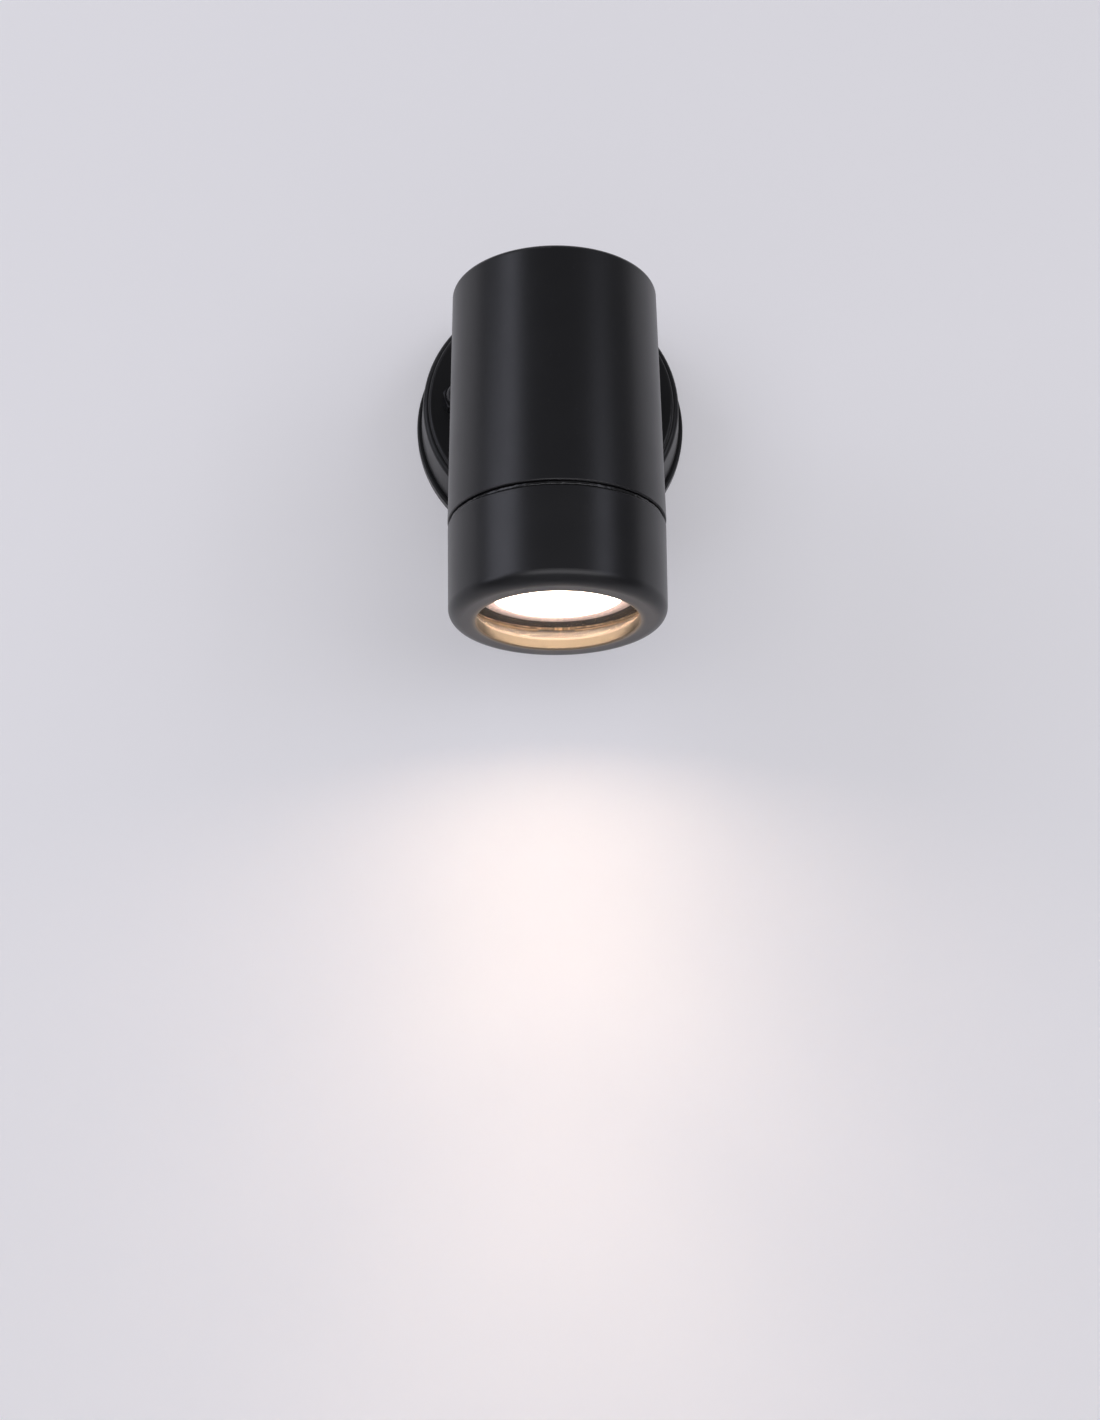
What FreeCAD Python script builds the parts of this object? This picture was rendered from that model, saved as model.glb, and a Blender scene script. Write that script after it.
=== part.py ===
import FreeCAD
import Part
import os
from math import atan2, cos, degrees, radians, sin, sqrt, tan

# Pivoting spotlight wall light, in millimetres.
# The wall is the plane Y = 0 and the light stands out from it towards -Y; +Z is up.
# The origin is the centre of the back plate's rear face. A depth is a distance out
# from the wall, so a point at depth d has Y = -d. At rest the head hangs straight down.

V = FreeCAD.Vector

# ---------------------------------------------------------------- driving dimensions
# fits and gaps
RUN_FIT = 0.05            # radial clearance of a part that turns or slides on another
SEAT_FIT = 0.1            # radial clearance of a part seated in its place
THREAD_FIT = 0.05         # radial clearance between a screw and its plain thread bore
SKIN_GAP = 0.3            # between faces of parts that move past one another
RUB_GAP = 0.1             # between a friction washer and the face it rubs on
PAST = 1.0                # how far a cutter runs past the faces it opens

# back plate
PLATE_D = 92.5
PLATE_T = 4.0
PLATE_EDGE_R = 0.8
PLATE_RIM_T = 1.6         # wall of the raised rim that centres the canopy
PLATE_RIM_H = 3.0
WALL_SLOT_SPACING = 38.0
WALL_SLOT_W = 4.5
WALL_SLOT_L = 9.0
GASKET_GROOVE_MID_D = 84.0
GASKET_GROOVE_W = 4.0
GASKET_GROOVE_DEPTH = 1.2

# cable entry in the back plate
ENTRY_DROP = 22.0         # below the centre
ENTRY_HOLE_D = 12.0
ENTRY_BORE_D = 7.0
GROMMET_LIP = 1.6         # how far a grommet's flanges reach past its hole
GROMMET_LIP_T = 1.2

# canopy
CANOPY_REAR_D = 89.4
CANOPY_SHOULDER_D = 87.0
CANOPY_SHOULDER_R = 1.6
CANOPY_SHOULDER_DEPTH = 21.0
CANOPY_DISC_D = 83.6      # raised disc on the front
CANOPY_DISC_R = 1.2
CANOPY_FACE_DEPTH = 22.4
CANOPY_WALL = 2.5
CANOPY_SEAL_T = 0.8
CANOPY_SEAL_W = 2.0
CANOPY_BOSS_D = 25.0
CANOPY_BOSS_H = 3.0

# studs and cap nuts
STUD_SPACING = 62.0
STUD_D = 6.0
STUD_ROOT = 2.8           # length of stud held in the back plate
STUD_REACH = 6.3          # length of stud inside its cap nut
SPACER_D = 11.0
STUD_HOLE_D = 6.4
NUT_WASHER_D = 12.0
NUT_WASHER_T = 0.9
CAP_NUT_AF = 10.0
CAP_NUT_HEX_H = 4.4
CAP_NUT_DOME_D = 8.8
CAP_NUT_H = 8.6
CAP_NUT_ROUNDING = 0.9    # share of the dome taken by its rounding
CAP_NUT_TURN = 14.5       # angle at which the nuts came to rest
CAP_NUT_FACE_GAP = 1.45   # from the nuts to the head's closed end when it points out

# swivel through the canopy
STEM_D = 10.0
STEM_BORE_D = 6.0
STEM_TAIL = 6.5           # from the nut's seat side to the stem's end
COLLAR_D = 28.0
COLLAR_T = 4.5
COLLAR_EDGE_R = 1.5
COLLAR_STEP_D = 20.0      # round step that the neck grows from
COLLAR_STEP_T = 2.0
COLLAR_STEP_R = 1.0
STOP_PIN_D = 2.5
STOP_PIN_RADIUS = 8.7     # from the swivel axis
STOP_PIN_SINK = 3.6
STOP_PIN_OUT = 1.9
STOP_ANGLE = 160.0        # each way from rest
STOP_GROOVE_FIT = 0.3
SEAL_MID_D = 24.0
SEAL_CORD_D = 1.6
SEAL_GROOVE_DEPTH = 1.4
SWIVEL_WASHER_D = 18.0
SWIVEL_WASHER_T = 1.0
SPRING_WASHER_D = 16.0
SPRING_WASHER_T = 0.5
SPRING_WASHER_RISE = 0.5
SWIVEL_NUT_AF = 14.0
SWIVEL_NUT_H = 4.5

# tilt knuckle
ARM_W = 15.0
NECK_H = 11.0
NECK_EDGE_R = 1.5
HUB_D = 11.6
HUB_HEAD_GAP = 0.53       # from the hub to the head's wall
OUTLET_BACK = 10.0        # lead outlet, behind the pivot
OUTLET_D = 6.0
TILT_BOLT_D = 5.0
TILT_BOLT_HEAD_D = 8.5
TILT_BOLT_HEAD_H = 3.0
TILT_SOCKET_AF = 3.0
TILT_SOCKET_DEPTH = 1.8
TILT_NUT_AF = 8.0
TILT_NUT_H = 4.0
TILT_NUT_TRIM = 0.32      # corners reach this far past the flats
TILT_BOLT_TIP = 1.0       # bolt past its nut
TILT_WASHER_D = 11.0
TILT_WASHER_T = 0.8
EAR_T = 4.6
EAR_D = 12.4
EAR_FOOT = 12.5           # how far the ear's foot reaches below the pivot
EAR_EYE_L = 2.5           # straight underside of the eye, before it runs down to the foot
EAR_BEND = 3.0
EAR_EDGE_R = 0.8
EAR_TIP_ROUNDING = 0.97   # share of the eye's half height taken by each tip corner

# head body
HEAD_TAPER = 2.5          # closed end smaller than the foot, across
HEAD_OVERHANG = 0.1       # body's foot past the front ring's top, radially
HEAD_RISE = 8.15          # closed end above the pivot
BODY_L = 78.0
HEAD_EDGE_R = 1.5
HEAD_WALL = 2.4
HEAD_TOP_T = 2.5
SPIGOT_L = 14.0
SPIGOT_WALL = 2.2
SPIGOT_NECK_L = 3.0       # height of the cone between cavity and spigot bore
HEAD_ENTRY_DROP = 17.0    # lead entry, below the pivot
HEAD_ENTRY_HOLE_D = 8.0
HEAD_ENTRY_BORE_D = 5.2

# front ring and lens
SEAM_GAP = 1.5
SEAM_RING_W = 2.6
SEAM_RING_R = 0.65
RING_WALL = 2.8           # at its thread
RING_TAPER = 0.5          # foot smaller than the top, across
RING_L = 29.85
RING_EDGE_R = 4.0
RING_MOUTH_R = 0.4
RING_THREAD_GAP = 0.3     # radial, between the plain thread surfaces
RING_THREAD_STEP = 1.25   # from the lens seat out to the thread, radially
OPENING_EDGE_R = 0.5
LIP_T = 3.2
LENS_MARGIN = 3.1         # lens past the lamp's rim, radially
LENS_T = 3.0
LENS_LEDGE = 3.6          # lip under the lens, radially
LENS_GASKET_T = 0.8
LENS_GASKET_SETBACK = 0.7
CLIP_WIRE_D = 1.2
CLIP_SEAT = 0.5           # part of the clip's wire sunk in its groove
CLIP_MOUTH = 24.0         # degrees left open

# lamp
LAMP_GAP = 1.9            # above the lens
LAMP_D = 50.0
LAMP_RIM_W = 4.5
LAMP_FACE_T = 2.0
LAMP_RIM_T = 6.0
LAMP_CONE_L = 28.0
LAMP_NECK_D = 24.8
LAMP_L = 50.0
LAMP_WALL = 1.5
PIN_SPACING = 10.0
PIN_STALK_D = 3.0
PIN_STALK_L = 4.1
PIN_HEAD_D = 5.0
PIN_HEAD_L = 2.9
LAMP_TWIST = 35.0

# lamp holder and its bracket
HOLDER_D = 28.0
HOLDER_H = 13.9
HOLDER_LEDGE_T = 3.5
HOLDER_EDGE_R = 1.0
HOLDER_SLOT_GAP = 0.3     # round a pin's stalk and head
CONTACT_T = 0.5
HOLDER_SCREW_SPACING = 20.0
SMALL_SCREW_D = 3.0
SMALL_HEAD_D = 5.5
SMALL_HEAD_H = 2.0
SMALL_SLOT_W = 0.8        # driver slot, half as deep as the head
SCREW_TIP = 1.0           # screw past its nut plate, or short of its bore's end
HOLDER_SCREW_L = 12.0
BRACKET_T = 1.5
BRACKET_W = 18.0
HEAD_BOSS_SINK = 0.6      # how far a boss runs into the head's wall
BRACKET_END_GAP = 0.4
BRACKET_SCREW_L = 9.0
HEAD_BOSS_D = 8.4
HEAD_BOSS_L = 16.0

# terminal block and leads
TERMINAL_W = 20.0
TERMINAL_H = 14.0
TERMINAL_DEEP = 10.5
TERMINAL_UP = 24.0        # block's centre above the swivel axis
TERMINAL_BORE_D = 4.0
TERMINAL_SLEEVE_WALL = 0.8
TERMINAL_SCREW_D = 2.5
TERMINAL_SCREW_OFF = 3.5  # each side of the block's middle
TERMINAL_WELL_D = 3.4
TERMINAL_SCREW_SINK = 0.5     # head side below the block's face
TERMINAL_SCREW_BITE = 0.4     # tip inside the sleeve's bore
TERMINAL_SLOT_W = 0.5
TERMINAL_SLOT_DEPTH = 0.6
TERMINAL_SLEEVE_INSET = 1.0   # sleeve's ends inside the block
LEAD_D = 2.2
LEAD_SPACING = 2.6
LEAD_BEND = 3.0
LEAD_SINK = 3.0           # lead's end inside a terminal or the lamp holder
HEAD_LEAD_ENTRY_BEND = 4.0
HEAD_LEAD_BEND = 6.0
LEAD_HOLDER_OFF = 11.5    # entry in the holder's top, towards the wall

# ---------------------------------------------------------------- derived places
stud_x = STUD_SPACING / 2
canopy_rear = PLATE_T + CANOPY_SEAL_T
canopy_inside = CANOPY_FACE_DEPTH - CANOPY_WALL
canopy_seat = canopy_inside - CANOPY_BOSS_H
canopy_taper = (CANOPY_REAR_D - CANOPY_SHOULDER_D) / (canopy_inside - canopy_rear)
rim_front = PLATE_T + PLATE_RIM_H
rim_outer_d = CANOPY_REAR_D - 2 * (CANOPY_WALL + SEAT_FIT) - canopy_taper * (rim_front - canopy_rear)
nut_seat = CANOPY_FACE_DEPTH + NUT_WASHER_T
nut_tip = nut_seat + CAP_NUT_H
pivot_depth = nut_tip + CAP_NUT_FACE_GAP + HEAD_RISE
collar_back = CANOPY_FACE_DEPTH + SKIN_GAP
collar_front = collar_back + COLLAR_T
stem_end = canopy_seat - RUB_GAP - SWIVEL_WASHER_T - STEM_TAIL
arm_half = ARM_W / 2
ear_inner = arm_half + TILT_WASHER_T + RUB_GAP
ear_outer = ear_inner + EAR_T

head_top = HEAD_RISE
body_foot = head_top - BODY_L
ring_top = body_foot - SEAM_GAP
ring_foot = ring_top - RING_L

lens_d = LAMP_D + 2 * LENS_MARGIN
opening_d = lens_d - 2 * LENS_LEDGE
lens_seat_d = lens_d + 2 * (LENS_GASKET_T + SEAT_FIT) + 2 * RUN_FIT
ring_thread_d = lens_seat_d + 2 * RING_THREAD_STEP
spigot_d = ring_thread_d - 2 * RING_THREAD_GAP
ring_top_d = ring_thread_d + 2 * RING_WALL
ring_foot_d = ring_top_d - RING_TAPER
head_foot_d = ring_top_d + 2 * HEAD_OVERHANG
head_top_d = head_foot_d - HEAD_TAPER
hub_level_r = (head_top_d + HEAD_TAPER * (HEAD_RISE + HUB_D / 2) / BODY_L) / 2
head_depth = pivot_depth + HUB_D / 2 + HUB_HEAD_GAP + hub_level_r
spigot_foot = body_foot - SPIGOT_L

lip_top = ring_foot + LIP_T
lens_gasket_z = lip_top + RUB_GAP
lens_z = lens_gasket_z + LENS_GASKET_T
lens_top = lens_z + LENS_T
clip_z = lens_top + RUB_GAP + CLIP_WIRE_D / 2
clip_mid_d = lens_seat_d + 2 * CLIP_SEAT - CLIP_WIRE_D
thread_foot = clip_z + CLIP_WIRE_D

lamp_face_z = lens_top + LAMP_GAP
lamp_base_z = lamp_face_z + LAMP_L
holder_z = lamp_base_z + SKIN_GAP
ledge_top = holder_z + HOLDER_LEDGE_T
pin_head_z = lamp_base_z + PIN_STALK_L
pin_top = pin_head_z + PIN_HEAD_L
holder_top = holder_z + HOLDER_H
bracket_top = holder_top + BRACKET_T


def point(x, depth, z):
    return V(x, -depth, z)


def head_radius(z):
    """Outer radius of the tapered head body at height z."""
    share = (head_top - z) / BODY_L
    return (head_top_d + HEAD_TAPER * share) / 2


def boss_x(side):
    """Middle of a boss, half sunk in the head's wall, for the bracket's screws."""
    return side * (head_radius(bracket_top) - HEAD_WALL + HEAD_BOSS_SINK - HEAD_BOSS_D / 2)


# ---------------------------------------------------------------- shape helpers
def rod_x(diameter, x_from, x_to, depth, z):
    return Part.makeCylinder(diameter / 2, x_to - x_from, point(x_from, depth, z), V(1, 0, 0))


def rod_y(diameter, depth_from, depth_to, x=0.0, z=0.0):
    return Part.makeCylinder(diameter / 2, depth_to - depth_from, point(x, depth_from, z), V(0, -1, 0))


def rod_z(diameter, z_from, z_to, x=0.0, depth=None):
    """Upright rod; without a depth it stands on the head's axis."""
    place = head_depth if depth is None else depth
    return Part.makeCylinder(diameter / 2, z_to - z_from, point(x, place, z_from), V(0, 0, 1))


def block(x_from, x_to, depth_from, depth_to, z_from, z_to):
    corner = point(x_from, depth_to, z_from)
    return Part.makeBox(x_to - x_from, depth_to - depth_from, z_to - z_from, corner)


def path_edges(corners, closed):
    """Straight edges through the corners, each (point, radius) corner turned by a tangent arc."""
    count = len(corners)
    entries = []
    for index, (corner, radius) in enumerate(corners):
        last = index in (0, count - 1) and not closed
        if radius == 0 or last:
            entries.append((corner, None, corner))
            continue
        back = (corners[index - 1][0] - corner).normalize()
        ahead = (corners[(index + 1) % count][0] - corner).normalize()
        half = back.getAngle(ahead) / 2
        reach = radius / tan(half)
        middle = (back + ahead).normalize() * (radius / sin(half) - radius)
        entries.append((corner + back * reach, corner + middle, corner + ahead * reach))
    edges = []
    for index, (start, middle, end) in enumerate(entries):
        if middle is not None:
            edges.append(Part.Arc(start, middle, end).toShape())
        if index == count - 1 and not closed:
            continue
        following = entries[(index + 1) % count][0]
        if (following - end).Length > 1e-6:
            edges.append(Part.LineSegment(end, following).toShape())
    return edges


def turned_z(outline):
    """Solid turned about the head's axis from (radius, z, corner radius) points."""
    corners = [(point(r, head_depth, z), bend) for r, z, bend in outline]
    face = Part.Face(Part.Wire(path_edges(corners, True)))
    return face.revolve(point(0, head_depth, 0), V(0, 0, 1), 360)


def turned_y(outline, x=0.0, z=0.0):
    """Solid turned about a line square to the wall from (radius, depth, corner radius) points."""
    corners = [(point(x + r, depth, z), bend) for r, depth, bend in outline]
    face = Part.Face(Part.Wire(path_edges(corners, True)))
    return face.revolve(point(x, 0, z), V(0, 1, 0), 360)


def hex_y(across_flats, depth_from, depth_to, x=0.0, z=0.0, turn=0.0):
    """Hexagonal bar square to the wall."""
    reach = across_flats / sqrt(3)
    angles = [radians(turn + 60 * step) for step in range(7)]
    ring = [point(x + reach * cos(a), depth_from, z + reach * sin(a)) for a in angles]
    return Part.Face(Part.makePolygon(ring)).extrude(V(0, depth_from - depth_to, 0))


def hex_x(across_flats, x_from, x_to, depth, z):
    """Hexagonal bar along X."""
    reach = across_flats / sqrt(3)
    angles = [radians(60 * step) for step in range(7)]
    ring = [point(x_from, depth + reach * cos(a), z + reach * sin(a)) for a in angles]
    return Part.Face(Part.makePolygon(ring)).extrude(V(x_to - x_from, 0, 0))


def tube_along(corners, diameter):
    """Round wire along a path of (point, bend radius) corners."""
    path = Part.Wire(path_edges(corners, False))
    start = corners[0][0]
    section = Part.Wire(Part.makeCircle(diameter / 2, start, corners[1][0] - start))
    shell = Part.BRepOffsetAPI.MakePipeShell(path)
    shell.add(section)
    shell.build()
    shell.makeSolid()
    return shell.shape()


def arc_slot(mid_radius, width, z_from, z_to, angle_from, angle_to):
    """Curved slot round the head's axis, with round ends."""
    span = angle_to - angle_from
    ring = turned_z([(mid_radius - width / 2, z_from, 0), (mid_radius + width / 2, z_from, 0),
                     (mid_radius + width / 2, z_to, 0), (mid_radius - width / 2, z_to, 0)])
    reach = mid_radius + width
    sector = Part.makeCylinder(reach, z_to - z_from, point(0, head_depth, z_from), V(0, 0, 1), span)
    sector.rotate(point(0, head_depth, 0), V(0, 0, 1), angle_from)
    slot = ring.common(sector)
    for angle in (angle_from, angle_to):
        x = mid_radius * cos(radians(angle))
        inward = mid_radius * sin(radians(angle))
        slot = slot.fuse(rod_z(width, z_from, z_to, x, head_depth - inward))
    return slot


def mirrored(make):
    """The same piece on both sides of the middle plane, as one group."""
    return Part.makeCompound([make(-1), make(1)])


# ---------------------------------------------------------------- wall side
def grommet_y(hole_d, bore_d, depth_from, depth_to, z):
    """Rubber grommet in a wall between two depths: a waist in the hole and a flange each side."""
    flange = hole_d / 2 + GROMMET_LIP
    waist = hole_d / 2 - SEAT_FIT
    bore = bore_d / 2
    back = depth_from - GROMMET_LIP_T
    front = depth_to + GROMMET_LIP_T
    bend = GROMMET_LIP_T / 3
    return turned_y([(bore, back, bend), (flange, back, bend), (flange, depth_from, 0),
                     (waist, depth_from, 0), (waist, depth_to, 0), (flange, depth_to, 0),
                     (flange, front, bend), (bore, front, bend)], 0, z)


def wall_gasket():
    inner = (GASKET_GROOVE_MID_D - GASKET_GROOVE_W) / 2 + SEAT_FIT
    outer = (GASKET_GROOVE_MID_D + GASKET_GROOVE_W) / 2 - SEAT_FIT
    return turned_y([(inner, 0, 0), (outer, 0, 0), (outer, GASKET_GROOVE_DEPTH, 0),
                     (inner, GASKET_GROOVE_DEPTH, 0)])


def wall_slot(side):
    """Slot for a wall screw, long side level."""
    x = side * WALL_SLOT_SPACING / 2
    run = (WALL_SLOT_L - WALL_SLOT_W) / 2
    over = PLATE_T + PAST
    middle = block(x - run, x + run, -PAST, over, -WALL_SLOT_W / 2, WALL_SLOT_W / 2)
    ends = [rod_y(WALL_SLOT_W, -1, over, x + run * end, 0) for end in (-1, 1)]
    return middle.fuse(ends)


def back_plate():
    edge = PLATE_D / 2
    rim_out = rim_outer_d / 2
    rim_in = rim_out - PLATE_RIM_T
    plate = turned_y([(0, 0, 0), (edge, 0, 0), (edge, PLATE_T, PLATE_EDGE_R), (rim_out, PLATE_T, 0),
                      (rim_out, rim_front, PLATE_RIM_T / 4), (rim_in, rim_front, PLATE_RIM_T / 4),
                      (rim_in, PLATE_T, 0), (0, PLATE_T, 0)])
    for side in (-1, 1):
        x = side * stud_x
        plate = plate.cut(rod_y(STUD_D + 2 * THREAD_FIT, PLATE_T - STUD_ROOT, PLATE_T + PAST, x))
        plate = plate.cut(wall_slot(side))
    inner = (GASKET_GROOVE_MID_D - GASKET_GROOVE_W) / 2
    outer = (GASKET_GROOVE_MID_D + GASKET_GROOVE_W) / 2
    groove = turned_y([(inner, -PAST, 0), (outer, -PAST, 0), (outer, GASKET_GROOVE_DEPTH, 0),
                       (inner, GASKET_GROOVE_DEPTH, 0)])
    entry = rod_y(ENTRY_HOLE_D, -PAST, PLATE_T + PAST, 0, -ENTRY_DROP)
    recess = rod_y(ENTRY_HOLE_D + 2 * GROMMET_LIP + 2 * SEAT_FIT, -PAST, GROMMET_LIP_T, 0, -ENTRY_DROP)
    return plate.cut([groove, entry, recess])


def cable_grommet():
    return grommet_y(ENTRY_HOLE_D, ENTRY_BORE_D, GROMMET_LIP_T, PLATE_T, -ENTRY_DROP)


def stud_spacers():
    """Tubes on the studs that keep the canopy from being drawn in."""
    def spacer(side):
        x = side * stud_x
        tube = rod_y(SPACER_D, PLATE_T, canopy_inside, x)
        return tube.cut(rod_y(STUD_D + 2 * SEAT_FIT, PLATE_T - PAST, canopy_inside + PAST, x))
    return mirrored(spacer)


def canopy_studs():
    start = PLATE_T - STUD_ROOT
    end = nut_seat + STUD_REACH
    chamfer = STUD_D / 10
    r = STUD_D / 2
    outline = [(0, start, 0), (r, start, 0), (r, end - chamfer, 0), (r - chamfer, end, 0), (0, end, 0)]
    return mirrored(lambda side: turned_y(outline, side * stud_x))


def canopy_seal():
    inner = rim_outer_d / 2 + SEAT_FIT
    outer = inner + CANOPY_SEAL_W
    return turned_y([(inner, PLATE_T, 0), (outer, PLATE_T, 0), (outer, canopy_rear, 0),
                     (inner, canopy_rear, 0)])


def canopy():
    rear = CANOPY_REAR_D / 2
    shoulder = CANOPY_SHOULDER_D / 2
    disc = CANOPY_DISC_D / 2
    inner_rear = rear - CANOPY_WALL
    inner_front = shoulder - CANOPY_WALL
    boss = CANOPY_BOSS_D / 2
    step = CANOPY_FACE_DEPTH - CANOPY_SHOULDER_DEPTH
    shell = turned_y([(0, CANOPY_FACE_DEPTH, 0), (disc, CANOPY_FACE_DEPTH, min(CANOPY_DISC_R, 0.9 * step)),
                      (disc, CANOPY_SHOULDER_DEPTH, 0), (shoulder, CANOPY_SHOULDER_DEPTH, CANOPY_SHOULDER_R),
                      (rear, canopy_rear, 0), (inner_rear, canopy_rear, 0),
                      (inner_front, canopy_inside, CANOPY_SHOULDER_R), (boss, canopy_inside, 0),
                      (boss, canopy_seat, 0), (0, canopy_seat, 0)])
    through = CANOPY_FACE_DEPTH + PAST
    holes = [rod_y(STEM_D + 2 * RUN_FIT, canopy_seat - PAST, through)]
    holes += [rod_y(STUD_HOLE_D, canopy_inside - PAST, through, side * stud_x) for side in (-1, 1)]
    holes.append(rod_y(STOP_PIN_D, CANOPY_FACE_DEPTH - STOP_PIN_SINK, through, 0, STOP_PIN_RADIUS))
    blind_end = canopy_inside + CANOPY_WALL / 2
    holes.append(rod_y(SMALL_SCREW_D, canopy_inside - PAST, blind_end, 0, TERMINAL_UP))
    return shell.cut(holes)


def swivel_stop_pin():
    return rod_y(STOP_PIN_D, CANOPY_FACE_DEPTH - STOP_PIN_SINK, CANOPY_FACE_DEPTH + STOP_PIN_OUT,
                 0, STOP_PIN_RADIUS)


def cap_nut_washers():
    def washer(side):
        ring = rod_y(NUT_WASHER_D, CANOPY_FACE_DEPTH, nut_seat, side * stud_x)
        return ring.cut(rod_y(STUD_HOLE_D, CANOPY_FACE_DEPTH - PAST, nut_seat + PAST, side * stud_x))
    return mirrored(washer)


def cap_nut(side):
    x = side * stud_x
    flat = CAP_NUT_AF / 2
    corner = CAP_NUT_AF / sqrt(3)
    dome = CAP_NUT_DOME_D / 2
    hex_top = nut_seat + CAP_NUT_HEX_H
    fall = corner - flat
    bend = CAP_NUT_ROUNDING * min(dome, CAP_NUT_H - CAP_NUT_HEX_H)
    turned = turned_y([(0, nut_seat, 0), (flat, nut_seat, 0), (corner, nut_seat + fall / 2, 0),
                       (corner, hex_top - fall / 2, 0), (flat, hex_top, 0), (dome, hex_top, 0),
                       (dome, nut_tip, bend), (0, nut_tip, 0)], x)
    bar = hex_y(CAP_NUT_AF, nut_seat, nut_tip + PAST, x, 0, side * CAP_NUT_TURN)
    bore = rod_y(STUD_D + 2 * THREAD_FIT, nut_seat - PAST, nut_seat + STUD_REACH + THREAD_FIT, x)
    return turned.common(bar).cut(bore)


def cap_nuts():
    return mirrored(cap_nut)


# ---------------------------------------------------------------- terminal block and its leads
def terminal_low():
    return TERMINAL_UP - TERMINAL_H / 2


def terminal_depth():
    """Depth of the block's wire bores."""
    return canopy_inside - TERMINAL_DEEP / 2


def terminal_block():
    top = terminal_low() + TERMINAL_H
    body = block(-TERMINAL_W / 2, TERMINAL_W / 2, canopy_inside - TERMINAL_DEEP, canopy_inside,
                 terminal_low(), top)
    outer = TERMINAL_BORE_D + 2 * TERMINAL_SLEEVE_WALL
    back = canopy_inside - TERMINAL_DEEP
    cuts = [rod_y(SMALL_SCREW_D + 2 * SEAT_FIT, back - PAST, canopy_inside + PAST, 0, TERMINAL_UP)]
    cuts.append(rod_y(SMALL_HEAD_D + 2 * SEAT_FIT, back - PAST, back + SMALL_HEAD_H, 0, TERMINAL_UP))
    for pole in (-1, 1):
        x = terminal_pole_x(pole)
        cuts.append(rod_z(outer, terminal_low() - PAST, top + PAST, x, terminal_depth()))
        for z in terminal_screw_heights():
            cuts.append(rod_y(TERMINAL_WELL_D, back - PAST, terminal_depth(), x, z))
    return body.cut(cuts)


def terminal_pole_x(pole):
    """Poles stand clear of the fixing screw between them."""
    outer = TERMINAL_BORE_D + 2 * TERMINAL_SLEEVE_WALL
    return pole * ((SMALL_HEAD_D + outer) / 2 + SKIN_GAP)


def terminal_screw_heights():
    return [TERMINAL_UP - TERMINAL_SCREW_OFF, TERMINAL_UP + TERMINAL_SCREW_OFF]


def terminal_sleeves():
    def sleeve(pole):
        x = terminal_pole_x(pole)
        low = terminal_low() + TERMINAL_SLEEVE_INSET
        top = terminal_low() + TERMINAL_H - TERMINAL_SLEEVE_INSET
        outer = TERMINAL_BORE_D + 2 * TERMINAL_SLEEVE_WALL
        tube = rod_z(outer, low, top, x, terminal_depth())
        tube = tube.cut(rod_z(TERMINAL_BORE_D, low - PAST, top + PAST, x, terminal_depth()))
        bores = [rod_y(TERMINAL_SCREW_D + 2 * THREAD_FIT, terminal_depth() - outer, terminal_depth(), x, z)
                 for z in terminal_screw_heights()]
        return tube.cut(bores)
    return mirrored(sleeve)


def terminal_screws():
    screws = []
    start = canopy_inside - TERMINAL_DEEP + TERMINAL_SCREW_SINK
    end = terminal_depth() - TERMINAL_BORE_D / 2 + TERMINAL_SCREW_BITE
    half = TERMINAL_SLOT_W / 2
    for pole in (-1, 1):
        x = terminal_pole_x(pole)
        for z in terminal_screw_heights():
            screw = rod_y(TERMINAL_SCREW_D, start, end, x, z)
            slot = block(x - TERMINAL_SCREW_D, x + TERMINAL_SCREW_D, start - PAST,
                         start + TERMINAL_SLOT_DEPTH, z - half, z + half)
            screws.append(screw.cut(slot))
    return Part.makeCompound(screws)


def terminal_fixing_screw():
    head = canopy_inside - TERMINAL_DEEP
    screw = rod_y(SMALL_SCREW_D, head, canopy_inside + CANOPY_WALL / 2, 0, TERMINAL_UP)
    screw = screw.fuse(rod_y(SMALL_HEAD_D, head, head + SMALL_HEAD_H, 0, TERMINAL_UP))
    return screw.removeSplitter()


def canopy_leads():
    """Two leads from the terminal block into the hollow stem."""
    near_wall = (PLATE_T + stem_end) / 2

    def lead(side):
        pole = terminal_pole_x(side)
        close = side * LEAD_SPACING / 2
        low = terminal_low()
        return tube_along([(point(pole, terminal_depth(), low + LEAD_SINK), 0),
                           (point(pole, terminal_depth(), low - LEAD_BEND), LEAD_BEND / 2),
                           (point(close, near_wall, low / 2), LEAD_BEND / 2),
                           (point(close, near_wall, 0), LEAD_BEND),
                           (point(close, stem_end + 2 * LEAD_BEND, 0), 0)], LEAD_D)
    return mirrored(lead)


# ---------------------------------------------------------------- swivel arm
def stop_groove():
    """Arc groove in the collar's back; the web left at the bottom meets the pin at each limit."""
    width = STOP_PIN_D + 2 * STOP_GROOVE_FIT
    inner = STOP_PIN_RADIUS - width / 2
    outer = STOP_PIN_RADIUS + width / 2
    floor = CANOPY_FACE_DEPTH + STOP_PIN_OUT + SKIN_GAP
    ring = turned_y([(inner, collar_back - PAST, 0), (outer, collar_back - PAST, 0), (outer, floor, 0),
                     (inner, floor, 0)])
    pin_half = degrees(atan2(STOP_PIN_D / 2 + STOP_GROOVE_FIT, STOP_PIN_RADIUS))
    web_half = 180 - STOP_ANGLE - pin_half
    half_width = STOP_PIN_RADIUS * tan(radians(web_half))
    web = block(-half_width, half_width, collar_back - 2 * PAST, floor + PAST, -outer - PAST, 0)
    return ring.cut(web)


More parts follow.
